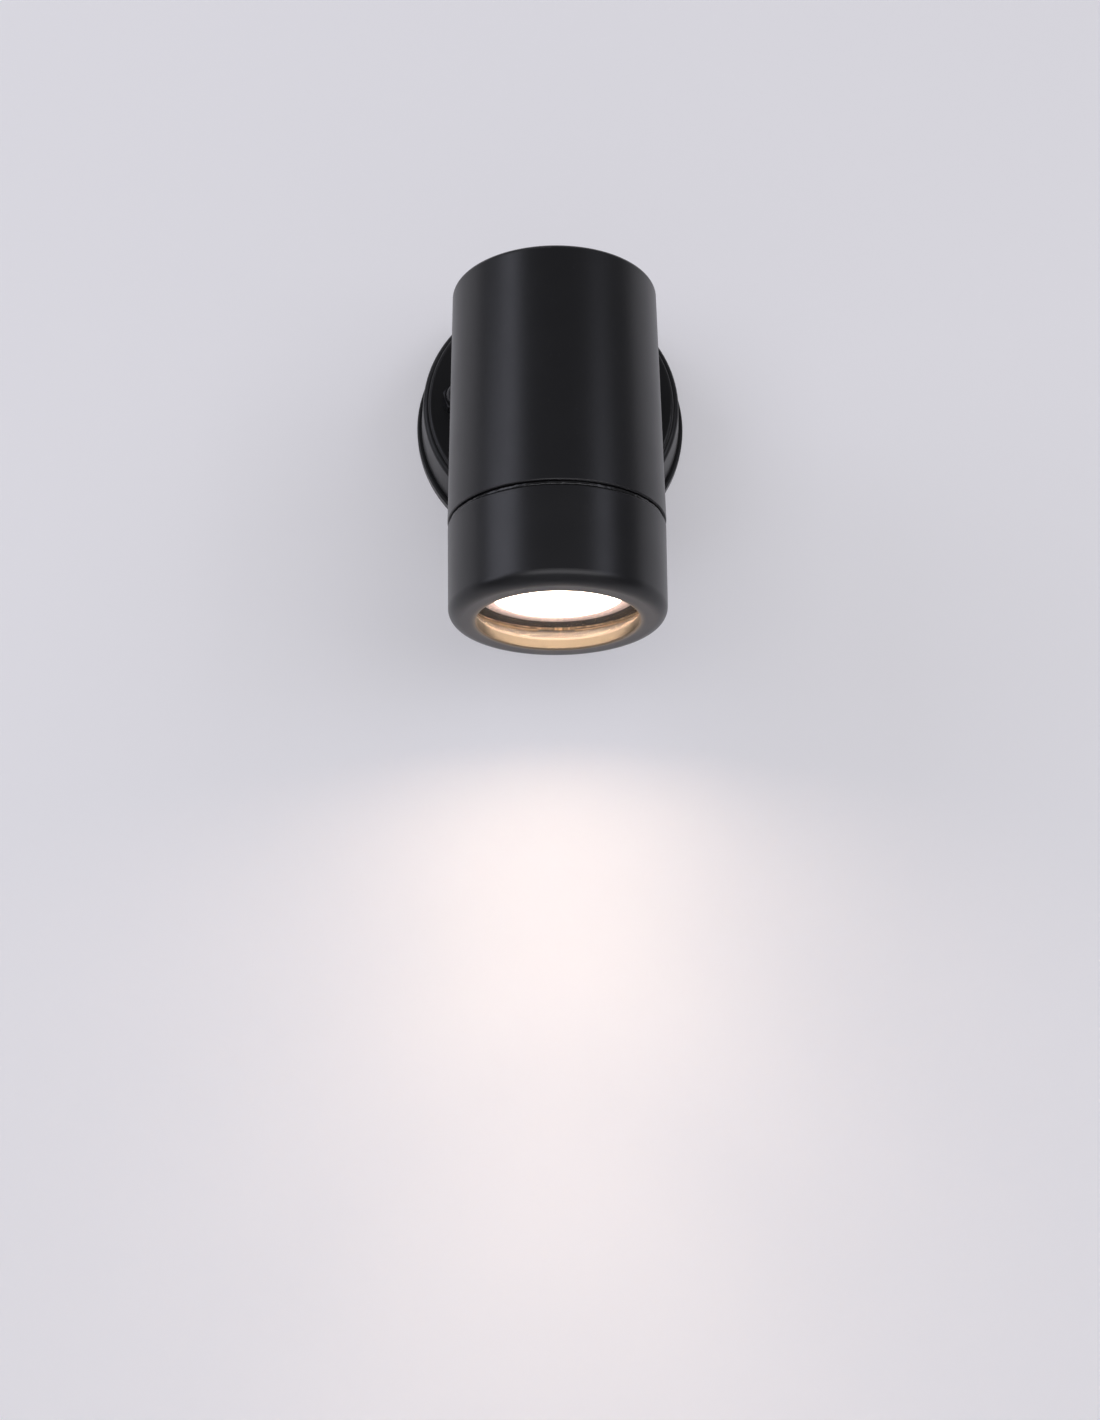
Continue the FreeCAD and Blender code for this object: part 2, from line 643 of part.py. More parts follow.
def swivel_arm():
    neck = block(-arm_half, arm_half, collar_front - COLLAR_T / 2, pivot_depth, -NECK_H / 2, NECK_H / 2)
    long_edges = [edge for edge in neck.Edges if abs(edge.tangentAt(0).y) > 0.99]
    neck = neck.makeFillet(NECK_EDGE_R, long_edges)
    step_front = collar_front + COLLAR_STEP_T
    collar = turned_y([(0, collar_back, 0), (COLLAR_D / 2, collar_back, 0),
                       (COLLAR_D / 2, collar_front, COLLAR_EDGE_R), (COLLAR_STEP_D / 2, collar_front, 0),
                       (COLLAR_STEP_D / 2, step_front, COLLAR_STEP_R), (0, step_front, 0)])
    stem = rod_y(STEM_D, stem_end, collar_front)
    hub = rod_x(HUB_D, -arm_half, arm_half, pivot_depth, 0)
    arm = stem.fuse([collar, neck, hub]).removeSplitter()
    outlet_depth = pivot_depth - OUTLET_BACK
    bore = rod_y(STEM_BORE_D, stem_end - PAST, outlet_depth)
    bore = bore.fuse(Part.makeSphere(STEM_BORE_D / 2, point(0, outlet_depth, 0)))
    outlet = rod_z(OUTLET_D, -NECK_H, 0, 0, outlet_depth)
    pivot = rod_x(TILT_BOLT_D + 2 * RUN_FIT, -arm_half - PAST, arm_half + PAST, pivot_depth, 0)
    seal_in = (SEAL_MID_D - SEAL_CORD_D) / 2 - SEAT_FIT
    seal_out = (SEAL_MID_D + SEAL_CORD_D) / 2 + SEAT_FIT
    seal_floor = collar_back + SEAL_GROOVE_DEPTH
    seal_groove = turned_y([(seal_in, collar_back - PAST, 0), (seal_out, collar_back - PAST, 0),
                            (seal_out, seal_floor, 0), (seal_in, seal_floor, 0)])
    return arm.cut([bore, outlet, pivot, seal_groove, stop_groove()])


def swivel_seal():
    centre = collar_back + SEAL_GROOVE_DEPTH - SEAL_CORD_D / 2
    return Part.makeTorus(SEAL_MID_D / 2, SEAL_CORD_D / 2, point(0, centre, 0), V(0, 1, 0))


def ring_y(outer_d, inner_d, depth_from, depth_to):
    ring = rod_y(outer_d, depth_from, depth_to)
    return ring.cut(rod_y(inner_d, depth_from - PAST, depth_to + PAST))


def swivel_washer():
    front = canopy_seat - RUB_GAP
    return ring_y(SWIVEL_WASHER_D, STEM_D + 2 * SEAT_FIT, front - SWIVEL_WASHER_T, front)


def swivel_spring_washer():
    """Dished spring washer, wide edge towards the front."""
    front = canopy_seat - RUB_GAP - SWIVEL_WASHER_T
    outer = SPRING_WASHER_D / 2
    inner = STEM_D / 2 + SEAT_FIT
    low = front - SPRING_WASHER_RISE
    return turned_y([(inner, low, 0), (outer, front, 0), (outer, front - SPRING_WASHER_T, 0),
                     (inner, low - SPRING_WASHER_T, 0)])


def swivel_nut():
    front = canopy_seat - RUB_GAP - SWIVEL_WASHER_T - SPRING_WASHER_RISE - SPRING_WASHER_T
    back = front - SWIVEL_NUT_H
    flat = SWIVEL_NUT_AF / 2
    corner = SWIVEL_NUT_AF / sqrt(3)
    fall = (corner - flat) / 2
    turned = turned_y([(0, back, 0), (flat, back, 0), (corner, back + fall, 0), (corner, front, 0),
                       (0, front, 0)])
    nut = hex_y(SWIVEL_NUT_AF, back, front).common(turned)
    return nut.cut(rod_y(STEM_D + 2 * THREAD_FIT, back - PAST, front + PAST))


# ---------------------------------------------------------------- tilt knuckle
def tilt_washers():
    def washer(side):
        near = min(side * arm_half, side * (arm_half + TILT_WASHER_T))
        ring = rod_x(TILT_WASHER_D, near, near + TILT_WASHER_T, pivot_depth, 0)
        bore = rod_x(TILT_BOLT_D + 2 * RUN_FIT, near - PAST, near + TILT_WASHER_T + PAST, pivot_depth, 0)
        return ring.cut(bore)
    return mirrored(washer)


def tilt_bolt():
    tip = ear_outer + TILT_NUT_H + TILT_BOLT_TIP
    shank = rod_x(TILT_BOLT_D, -ear_outer, tip, pivot_depth, 0)
    head_end = -ear_outer - TILT_BOLT_HEAD_H
    head = rod_x(TILT_BOLT_HEAD_D, head_end, -ear_outer, pivot_depth, 0)
    rim = max(head.Edges, key=lambda edge: -edge.CenterOfMass.x)
    head = head.makeFillet(TILT_BOLT_HEAD_H / 3, [rim])
    socket = hex_x(TILT_SOCKET_AF, head_end - PAST, head_end + TILT_SOCKET_DEPTH, pivot_depth, 0)
    return shank.fuse(head).cut(socket)


def tilt_nut():
    nut = hex_x(TILT_NUT_AF, ear_outer, ear_outer + TILT_NUT_H, pivot_depth, 0)
    round_d = TILT_NUT_AF + 2 * TILT_NUT_TRIM
    nut = nut.common(rod_x(round_d, ear_outer, ear_outer + TILT_NUT_H, pivot_depth, 0))
    over = ear_outer + TILT_NUT_H + PAST
    bore = rod_x(TILT_BOLT_D + 2 * THREAD_FIT, ear_outer - PAST, over, pivot_depth, 0)
    return nut.cut(bore)


# ---------------------------------------------------------------- head body
def ear(side):
    """One ear of the head's clevis, before the head's cavity is cut."""
    reach = head_depth - head_radius(0) / 2
    surface = head_depth - head_radius(-EAR_FOOT)
    half = EAR_D / 2
    tip = pivot_depth - half
    bend = EAR_TIP_ROUNDING * half
    outline = [(reach, half, 0), (reach, -EAR_FOOT, 0), (surface, -EAR_FOOT, 0),
               (pivot_depth + EAR_EYE_L, -half, EAR_BEND), (tip, -half, bend), (tip, half, bend)]
    corners = [(point(side * ear_inner, depth, z), bend) for depth, z, bend in outline]
    face = Part.Face(Part.Wire(path_edges(corners, True)))
    cheek = face.extrude(V(side * EAR_T, 0, 0))
    rim = [edge for edge in cheek.Edges if abs(edge.CenterOfMass.x - side * ear_outer) < 0.01]
    return cheek.makeFillet(EAR_EDGE_R, rim)


def head_shell():
    top = head_top_d / 2
    foot = head_foot_d / 2
    spigot = spigot_d / 2
    return turned_z([(0, head_top, 0), (top, head_top, HEAD_EDGE_R), (foot, body_foot, RING_MOUTH_R),
                     (spigot, body_foot, 0), (spigot, spigot_foot, 0), (0, spigot_foot, 0)])


def head_cavity():
    ceiling = head_top - HEAD_TOP_T
    waist_top = body_foot + HEAD_WALL + SPIGOT_NECK_L
    waist = body_foot + HEAD_WALL
    bore = spigot_d / 2 - SPIGOT_WALL
    return turned_z([(0, ceiling, 0), (head_radius(ceiling) - HEAD_WALL, ceiling, HEAD_WALL),
                     (head_radius(waist_top) - HEAD_WALL, waist_top, 0), (bore, waist, 0),
                     (bore, spigot_foot - PAST, 0), (0, spigot_foot - PAST, 0)])


def head_boss(side):
    """Pillar inside the head that the lamp bracket is screwed to."""
    return rod_z(HEAD_BOSS_D, bracket_top, bracket_top + HEAD_BOSS_L, boss_x(side))


def head_body():
    body = head_shell().fuse([ear(-1), ear(1)]).cut(head_cavity())
    inside = rod_z(head_top_d, spigot_foot, head_top)
    bosses = [head_boss(side).common(inside) for side in (-1, 1)]
    body = body.fuse(bosses).removeSplitter()
    cuts = [rod_x(TILT_BOLT_D + 2 * RUN_FIT, -ear_outer - PAST, ear_outer + PAST, pivot_depth, 0)]
    bore = SMALL_SCREW_D + 2 * THREAD_FIT
    for side in (-1, 1):
        cuts.append(rod_z(bore, bracket_top - PAST, bracket_top + BRACKET_SCREW_L, boss_x(side)))
    wall = head_depth - head_radius(-HEAD_ENTRY_DROP)
    over = HEAD_WALL + 2 * PAST
    cuts.append(rod_y(HEAD_ENTRY_HOLE_D, wall - 2 * PAST, wall + over, 0, -HEAD_ENTRY_DROP))
    pad = HEAD_ENTRY_HOLE_D + 2 * GROMMET_LIP + 2 * SEAT_FIT
    cuts.append(rod_y(pad, wall - 2 * PAST, wall + head_pad_sink(), 0, -HEAD_ENTRY_DROP))
    return body.cut(cuts)


def entry_sag(radius):
    """How far a round wall falls away at the edge of the entry grommet's flange."""
    half = HEAD_ENTRY_HOLE_D / 2 + GROMMET_LIP
    return radius - sqrt(radius * radius - half * half)


def head_pad_sink():
    """Depth of the flat spot that seats the entry grommet on the round wall."""
    return entry_sag(head_radius(-HEAD_ENTRY_DROP)) + SEAT_FIT


def head_grommet():
    wall = head_depth - head_radius(-HEAD_ENTRY_DROP)
    seat = wall + head_pad_sink()
    inner = wall + HEAD_WALL + entry_sag(head_radius(-HEAD_ENTRY_DROP + HEAD_ENTRY_HOLE_D) - HEAD_WALL)
    return grommet_y(HEAD_ENTRY_HOLE_D, HEAD_ENTRY_BORE_D, seat, inner + SEAT_FIT, -HEAD_ENTRY_DROP)


def seam_ring():
    """Rubber ring squeezed between the body and the front ring."""
    inner = spigot_d / 2 + SEAT_FIT
    outer = inner + SEAM_RING_W
    low = ring_top + RUB_GAP
    return turned_z([(inner, low, SEAM_RING_R), (outer, low, SEAM_RING_R),
                     (outer, body_foot, SEAM_RING_R), (inner, body_foot, SEAM_RING_R)])


# ---------------------------------------------------------------- front ring and lens
def front_ring():
    top = ring_top_d / 2
    foot = ring_foot_d / 2
    thread = ring_thread_d / 2
    seat = lens_seat_d / 2
    opening = opening_d / 2
    ring = turned_z([(opening, ring_foot, OPENING_EDGE_R), (foot, ring_foot, RING_EDGE_R),
                     (top, ring_top, RING_MOUTH_R), (thread, ring_top, RING_MOUTH_R),
                     (thread, thread_foot, 0), (seat, thread_foot, 0), (seat, lip_top, 0),
                     (opening, lip_top, 0)])
    return ring.cut(Part.makeTorus(clip_mid_d / 2, CLIP_WIRE_D / 2 + RUN_FIT, point(0, head_depth, clip_z)))


def lens_gasket():
    """Angle-section silicone ring under and round the lens."""
    inner = opening_d / 2 + LENS_GASKET_SETBACK
    lens = lens_d / 2 + SEAT_FIT
    outer = lens_seat_d / 2 - RUN_FIT
    return turned_z([(inner, lens_gasket_z, 0), (outer, lens_gasket_z, 0), (outer, lens_top, 0),
                     (lens, lens_top, 0), (lens, lens_z, 0), (inner, lens_z, 0)])


def lens_glass():
    bevel = LENS_T / 8
    r = lens_d / 2
    return turned_z([(0, lens_z, 0), (r - bevel, lens_z, 0), (r, lens_z + bevel, 0),
                     (r, lens_top - bevel, 0), (r - bevel, lens_top, 0), (0, lens_top, 0)])


def lens_clip():
    """Open wire ring sprung into its groove above the lens."""
    start = point(clip_mid_d / 2, head_depth, clip_z)
    section = Part.Face(Part.Wire(Part.makeCircle(CLIP_WIRE_D / 2, start, V(0, 1, 0))))
    clip = section.revolve(point(0, head_depth, 0), V(0, 0, 1), 360 - CLIP_MOUTH)
    clip.rotate(point(0, head_depth, 0), V(0, 0, 1), 90 + CLIP_MOUTH / 2)
    return clip


# ---------------------------------------------------------------- lamp
def lamp_shell():
    """Tapered lamp housing with its rim, hollow towards the face."""
    r = LAMP_D / 2
    neck = LAMP_NECK_D / 2
    rim_top = lamp_face_z + LAMP_RIM_T
    cone_top = rim_top + LAMP_CONE_L
    face = r - LAMP_RIM_W
    seat = lamp_face_z + LAMP_FACE_T
    floor = lamp_base_z - LAMP_WALL
    return turned_z([(face, lamp_face_z, 0), (r, lamp_face_z, LAMP_WALL / 2), (r, rim_top, 0),
                     (neck, cone_top, LAMP_WALL), (neck, lamp_base_z, LAMP_WALL / 2), (0, lamp_base_z, 0),
                     (0, floor, 0), (neck - LAMP_WALL, floor, 0), (neck - LAMP_WALL, cone_top, LAMP_WALL),
                     (r - 2 * LAMP_WALL, rim_top, 0), (r - 2 * LAMP_WALL, seat, 0), (face, seat, 0)])


def lamp_face():
    """Diffusing front of the lamp: a disc with a flange behind the rim."""
    low = lamp_face_z + SEAT_FIT
    seat = lamp_face_z + LAMP_FACE_T
    top = seat + LAMP_WALL
    outer = LAMP_D / 2 - 2 * LAMP_WALL - SEAT_FIT
    face = LAMP_D / 2 - LAMP_RIM_W - SEAT_FIT
    return turned_z([(0, low, 0), (face, low, 0), (face, seat, 0), (outer, seat, 0), (outer, top, 0),
                     (0, top, 0)])


def lamp_pins():
    def pin(side):
        depth = head_depth - side * PIN_SPACING / 2
        stalk = rod_z(PIN_STALK_D, lamp_base_z, pin_top, 0, depth)
        head = rod_z(PIN_HEAD_D, pin_head_z, pin_top, 0, depth)
        return stalk.fuse(head).removeSplitter()
    return mirrored(pin)


# ---------------------------------------------------------------- lamp holder
def holder_screw_x(side):
    return side * HOLDER_SCREW_SPACING / 2


def bayonet_slot(side):
    """Keyhole slot: stalk width through the ledge, head width above it, entry hole at its end."""
    end = 90 * side
    start = end - LAMP_TWIST
    reach = PIN_SPACING / 2
    stalk = PIN_STALK_D + 2 * HOLDER_SLOT_GAP
    head = PIN_HEAD_D + 2 * HOLDER_SLOT_GAP
    well = arc_slot(reach, head, ledge_top - RUN_FIT, pin_top + HOLDER_SLOT_GAP + CONTACT_T, start, end)
    gap = arc_slot(reach, stalk, holder_z - PAST, ledge_top + PAST, start, end)
    x = reach * cos(radians(start))
    entry = rod_z(head, holder_z - PAST, ledge_top + PAST, x, head_depth - reach * sin(radians(start)))
    return well.fuse([gap, entry])


def lamp_holder():
    body = turned_z([(0, holder_z, 0), (HOLDER_D / 2, holder_z, HOLDER_EDGE_R),
                     (HOLDER_D / 2, holder_top, HOLDER_EDGE_R),
                     (0, holder_top, 0)])
    cuts = [bayonet_slot(-1), bayonet_slot(1)]
    for side in (-1, 1):
        x = holder_screw_x(side)
        cuts.append(rod_z(SMALL_SCREW_D + 2 * SEAT_FIT, holder_z - PAST, holder_top + PAST, x))
        cuts.append(rod_z(SMALL_HEAD_D + 2 * SEAT_FIT, holder_z - PAST,
                          bracket_top - HOLDER_SCREW_L, x))
        lead = side * LEAD_SPACING
        cuts.append(rod_z(LEAD_D + 2 * SEAT_FIT, holder_top - LEAD_SINK, holder_top + PAST, lead,
                          head_depth - LEAD_HOLDER_OFF))
    return body.cut(cuts)


def holder_contacts():
    """Spring strips in the roof of the two pin wells."""
    def strip(side):
        middle = head_depth - side * PIN_SPACING / 2
        low = pin_top + HOLDER_SLOT_GAP
        plate = block(-PIN_HEAD_D / 2, PIN_HEAD_D / 2, middle - PIN_STALK_D / 2, middle + PIN_STALK_D / 2,
                      low, low + CONTACT_T)
        return plate.common(rod_z(PIN_HEAD_D, low, low + CONTACT_T, 0, middle))
    return mirrored(strip)


def small_screw(x, head_z, tip_z):
    """Pan-head screw driven upwards from below, with a slot across its head."""
    shank = rod_z(SMALL_SCREW_D, head_z, tip_z, x)
    head = rod_z(SMALL_HEAD_D, head_z - SMALL_HEAD_H, head_z, x)
    half = SMALL_SLOT_W / 2
    slot = block(x - SMALL_HEAD_D, x + SMALL_HEAD_D, head_depth - half, head_depth + half,
                 head_z - SMALL_HEAD_H - PAST, head_z - SMALL_HEAD_H / 2)
    return shank.fuse(head).removeSplitter().cut(slot)


def lamp_holder_screws():
    return mirrored(lambda side: small_screw(holder_screw_x(side), bracket_top - HOLDER_SCREW_L,
                                             bracket_top + SCREW_TIP))


def holder_bracket():
    half = head_radius(holder_top)
    plate = block(-half, half, head_depth - BRACKET_W / 2, head_depth + BRACKET_W / 2,
                  holder_top, bracket_top)
    inside = head_radius(holder_top) - HEAD_WALL - BRACKET_END_GAP
    plate = plate.common(rod_z(2 * inside, holder_top, bracket_top))
    low = holder_top - PAST
    over = bracket_top + PAST
    bores = []
    for side in (-1, 1):
        bores.append(rod_z(SMALL_SCREW_D + 2 * SEAT_FIT, low, over, boss_x(side)))
        bores.append(rod_z(SMALL_SCREW_D + 2 * THREAD_FIT, low, over, holder_screw_x(side)))
    return plate.cut(bores)


def bracket_screws():
    tip = bracket_top + BRACKET_SCREW_L - SCREW_TIP
    return mirrored(lambda side: small_screw(boss_x(side), holder_top, tip))


def head_leads():
    """Two leads from the head's entry grommet down into the lamp holder."""
    wall = head_depth - head_radius(-HEAD_ENTRY_DROP)
    start = wall + head_pad_sink() - GROMMET_LIP_T

    def lead(side):
        turn = head_depth - LEAD_HOLDER_OFF
        x = side * LEAD_SPACING
        near = side * LEAD_SPACING / 2
        level = -HEAD_ENTRY_DROP
        return tube_along([(point(near, start, level), 0),
                           (point(near, wall + 3 * HEAD_WALL, level), HEAD_LEAD_ENTRY_BEND),
                           (point(x, turn, level + LEAD_D / 2), HEAD_LEAD_BEND),
                           (point(x, turn, holder_top - LEAD_SINK), 0)], LEAD_D)
    return mirrored(lead)


# ---------------------------------------------------------------- all pieces
PIECES = [wall_gasket, back_plate, cable_grommet, canopy_studs, stud_spacers, canopy_seal, canopy,
          swivel_stop_pin, cap_nut_washers, cap_nuts, terminal_block, terminal_sleeves,
          terminal_screws, terminal_fixing_screw, canopy_leads, swivel_arm, swivel_seal, swivel_washer,
          swivel_spring_washer, swivel_nut, tilt_washers, tilt_bolt, tilt_nut, head_body, head_grommet,
          seam_ring, front_ring, lens_gasket, lens_glass, lens_clip, lamp_shell, lamp_face, lamp_pins,
          lamp_holder, holder_contacts, lamp_holder_screws, holder_bracket, bracket_screws, head_leads]


def main():
    os.makedirs("parts", exist_ok=True)
    for piece in PIECES:
        shape = piece()
        name = piece.__name__
        if not shape.isValid() or len(shape.Solids) == 0:
            raise ValueError(name + " is not a valid solid")
        shape.exportStep("parts/" + name + ".step")
        print(name, len(shape.Solids), round(shape.Volume, 1))


main()
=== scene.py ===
from math import cos, pi, radians, sin

import bmesh
import bpy
import numpy as np
from bpy.props import FloatProperty, FloatVectorProperty, IntProperty, PointerProperty
from mathutils import Matrix, Vector


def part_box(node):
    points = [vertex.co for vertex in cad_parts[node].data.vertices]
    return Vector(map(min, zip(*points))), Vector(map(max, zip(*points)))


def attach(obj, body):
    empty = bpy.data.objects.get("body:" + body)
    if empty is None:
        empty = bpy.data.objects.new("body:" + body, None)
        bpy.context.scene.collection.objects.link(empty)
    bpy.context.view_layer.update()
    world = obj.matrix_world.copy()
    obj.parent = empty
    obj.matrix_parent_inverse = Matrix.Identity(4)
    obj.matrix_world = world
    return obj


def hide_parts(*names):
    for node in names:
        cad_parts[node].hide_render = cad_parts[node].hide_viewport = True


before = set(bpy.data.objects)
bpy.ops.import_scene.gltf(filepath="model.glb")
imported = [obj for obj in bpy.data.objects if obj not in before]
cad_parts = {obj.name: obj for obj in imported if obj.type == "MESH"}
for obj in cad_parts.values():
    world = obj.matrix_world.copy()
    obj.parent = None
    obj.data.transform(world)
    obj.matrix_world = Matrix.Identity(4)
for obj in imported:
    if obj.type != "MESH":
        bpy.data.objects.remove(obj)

bl_info = {
    "name": "Pivoting Spotlight",
    "version": (1, 0, 0),
    "blender": (4, 5, 0),
    "location": "View3D > Sidebar > Spotlight",
    "description": "Finishes, fine pieces and a studio for a wall light with a pivoting head",
    "category": "Object",
}

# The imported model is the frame: metres, the wall is the plane y = 0, the light stands out
# towards -y and +z is up. At rest the head hangs straight down.
MM = 0.001
SHELL_LOW, SHELL_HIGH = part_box("lamp_shell")
HEAD_X = (SHELL_LOW.x + SHELL_HIGH.x) / 2
HEAD_Y = (SHELL_LOW.y + SHELL_HIGH.y) / 2
LENS_RADIUS = 27.8 * MM
LAMP_FACE_RADIUS = 20.4 * MM
SPIGOT_RADIUS, RING_BORE_RADIUS = 30.0 * MM, 30.3 * MM
BLACK = (0, 0, 0)
LAMP_WHITE = (0.965, 0.957, 1.0)

# ------------------------------------------------------------------ finishes of the solid parts
PARTS_BY_FINISH = {
    "moulded_black": ("head_body",),
    "ring_black": ("front_ring",),
    "painted_black": ("canopy", "back_plate", "swivel_arm"),
    "blackened_steel": ("cap_nuts", "tilt_bolt", "tilt_nut", "cap_nut_washers"),
    "seal_rubber": ("cable_grommet", "canopy_seal", "swivel_seal", "head_grommet"),
    "foam_tape": ("wall_gasket",),
    "zinc_steel": ("canopy_studs", "stud_spacers", "swivel_stop_pin", "swivel_spring_washer",
                   "swivel_nut", "terminal_screws", "terminal_fixing_screw", "holder_bracket",
                   "bracket_screws", "lamp_holder_screws"),
    "spring_wire": ("lens_clip",),
    "turned_brass": ("terminal_sleeves", "holder_contacts", "lamp_pins"),
    "natural_nylon": ("terminal_block", "swivel_washer", "tilt_washers"),
    "lens_glass": ("lens_glass",),
    "lens_silicone": ("lens_gasket",),
    "holder_ceramic": ("lamp_holder",),
    "lead_sleeving": ("canopy_leads", "head_leads"),
}


# ------------------------------------------------------------------ settings
class FinishSettings(bpy.types.PropertyGroup):
    """Colours and grain of the black shells and of the small parts."""
    plastic_colour: FloatVectorProperty(
        name="Plastic", description="Colour of the moulded head and ring", subtype="COLOR", size=3,
        min=0, max=1, default=(0.006, 0.006, 0.0072))
    paint_colour: FloatVectorProperty(
        name="Paint", description="Colour of the painted canopy, plate and arm", subtype="COLOR",
        size=3, min=0, max=1, default=(0.006, 0.006, 0.0068))
    plastic_roughness: FloatProperty(
        name="Plastic roughness", description="Roughness of the moulded surface", subtype="FACTOR",
        min=0, max=1, default=0.33)
    paint_roughness: FloatProperty(
        name="Paint roughness", description="Roughness of the painted surface", subtype="FACTOR",
        min=0, max=1, default=0.36)
    grain_size: FloatProperty(
        name="Grain", description="Size of the moulded grain", unit="LENGTH",
        min=0.00005, default=0.28 * MM)
    glass_haze: FloatProperty(
        name="Glass haze", description="How much the lens covers what lies behind it",
        subtype="FACTOR", min=0, max=1, default=0.045)


class SeamSettings(bpy.types.PropertyGroup):
    """Rubber ring pressed into the seam between body and front ring."""
    bulge: FloatProperty(
        name="Bulge", description="How far the pressed rubber swells in and out along the seam",
        unit="LENGTH", min=0, default=0.22 * MM)
    ripple: FloatProperty(
        name="Ripple", description="Height of the fine folds of the pressed rubber",
        unit="LENGTH", min=0, default=0.035 * MM)


class LampSettings(bpy.types.PropertyGroup):
    """Lit lamp: its light, its moulded front and its fluted rim."""
    light_colour: FloatVectorProperty(
        name="Light", description="Colour of the lamp's light", subtype="COLOR", size=3,
        min=0, max=1, default=(1.0, 0.76, 0.58))
    strength: FloatProperty(
        name="Strength", description="Strength of the lit face", min=0, default=32.0)
    spill_power: FloatProperty(
        name="Spill", description="Power in watts of the wide soft cone of the lamp's light",
        min=0, default=0.37)
    spill_angle: FloatProperty(
        name="Spill angle", description="Full angle of the wide cone", subtype="ANGLE",
        min=0.1, max=3.1, default=radians(100))
    beam_power: FloatProperty(
        name="Beam", description="Power in watts of the lamp's narrow beam", min=0, default=0.78)
    beam_angle: FloatProperty(
        name="Beam angle", description="Full angle of the narrow beam", subtype="ANGLE",
        min=0.1, max=3.1, default=radians(66))
    lenslet_pitch: FloatProperty(
        name="Lenslets", description="Distance between the face's small lenses", unit="LENGTH",
        min=0.0005, default=2.6 * MM)
    lenslet_depth: FloatProperty(
        name="Lenslet depth", description="How far the small lenses stand proud", unit="LENGTH",
        min=0, default=0.35 * MM)
    flutes: IntProperty(
        name="Flutes", description="Number of flutes round the lamp's rim", min=12, default=132)
    flute_depth: FloatProperty(
        name="Flute depth", description="Depth of the flutes", unit="LENGTH",
        min=0, default=0.16 * MM)


class ThreadSettings(bpy.types.PropertyGroup):
    """Screw thread between body and front ring."""
    lead: FloatProperty(
        name="Lead", description="How far the ring travels in one turn", unit="LENGTH",
        min=0.0005, default=3.0 * MM)
    height: FloatProperty(
        name="Height", description="Height of the thread's ridge", unit="LENGTH", min=0.00005,
        default=0.24 * MM)
    width: FloatProperty(
        name="Width", description="Width of the ridge at its foot", unit="LENGTH", min=0.0002,
        default=1.2 * MM)


class StageSettings(bpy.types.PropertyGroup):
    """Wall, floor, lamps of the studio and the camera."""
    wall_colour: FloatVectorProperty(
        name="Wall", description="Colour of the wall", subtype="COLOR", size=3,
        min=0, max=1, default=(0.71, 0.70, 0.715))
    wall_glow: FloatProperty(
        name="Wall glow",
        description="Even brightness that the camera and reflections see on the wall",
        min=0, max=1, default=0.235)
    floor_colour: FloatVectorProperty(
        name="Floor", description="Colour of the floor", subtype="COLOR", size=3,
        min=0, max=1, default=(0.74, 0.74, 0.74))
    floor_drop: FloatProperty(
        name="Floor drop", description="Floor below the light", unit="LENGTH", min=0.1, default=1.4)
    sky: FloatProperty(
        name="Room light", description="Strength of the even light of the room",
        min=0, default=0.14)
    left_power: FloatProperty(
        name="Left lamp", description="Power of the left soft lamp in watts",
        min=0, default=2.6)
    right_power: FloatProperty(
        name="Right lamp", description="Power of the right soft lamp in watts",
        min=0, default=2.4)
    top_power: FloatProperty(
        name="Top lamp", description="Power of the soft lamp overhead in watts",
        min=0, default=2.0)
    front_power: FloatProperty(
        name="Front lamp", description="Power of the wide soft lamp in front in watts",
        min=0, default=24.0)


GROUPS = (
    ("spotlight_finish", FinishSettings),
    ("spotlight_seam", SeamSettings),
    ("spotlight_lamp", LampSettings),
    ("spotlight_thread", ThreadSettings),
    ("spotlight_stage", StageSettings),
)


# ------------------------------------------------------------------ shader maths
class Wire:
    """A socket in a material's tree. Arithmetic on it adds Math nodes to the tree."""

    def __init__(self, tree, socket=None):
        self.tree = tree
        self.socket = socket

    def node(self, kind, settings=None, values=None, out=0):
        """Adds a node: its settings first, then the values or links of its sockets."""
        made = self.tree.nodes.new("ShaderNode" + kind)
        for key, value in (settings or {}).items():
            setattr(made, key, value)
        for key, value in (values or {}).items():
            if isinstance(value, Wire):
                self.tree.links.new(value.socket, made.inputs[key])
            else:
                made.inputs[key].default_value = value
        return Wire(self.tree, made.outputs[out])

    def maths(self, operation, *values):
        return self.node("Math", {"operation": operation}, dict(enumerate(values)))

    def __add__(self, other):
        return self.maths("ADD", self, other)

    __radd__ = __add__

    def __sub__(self, other):
        return self.maths("SUBTRACT", self, other)

    def __rsub__(self, other):
        return self.maths("SUBTRACT", other, self)

    def __mul__(self, other):
        return self.maths("MULTIPLY", self, other)

    __rmul__ = __mul__

    def __pow__(self, other):
        return self.maths("POWER", self, other)

    def between(self, low, high):
        """0 below low, 1 above high, smooth in between. With low above high it is the other
        way round."""
        if low > high:
            return 1 - self.between(high, low)
        settings = {"interpolation_type": "SMOOTHSTEP", "clamp": True}
        return self.node("MapRange", settings, {"Value": self, "From Min": low, "From Max": high})


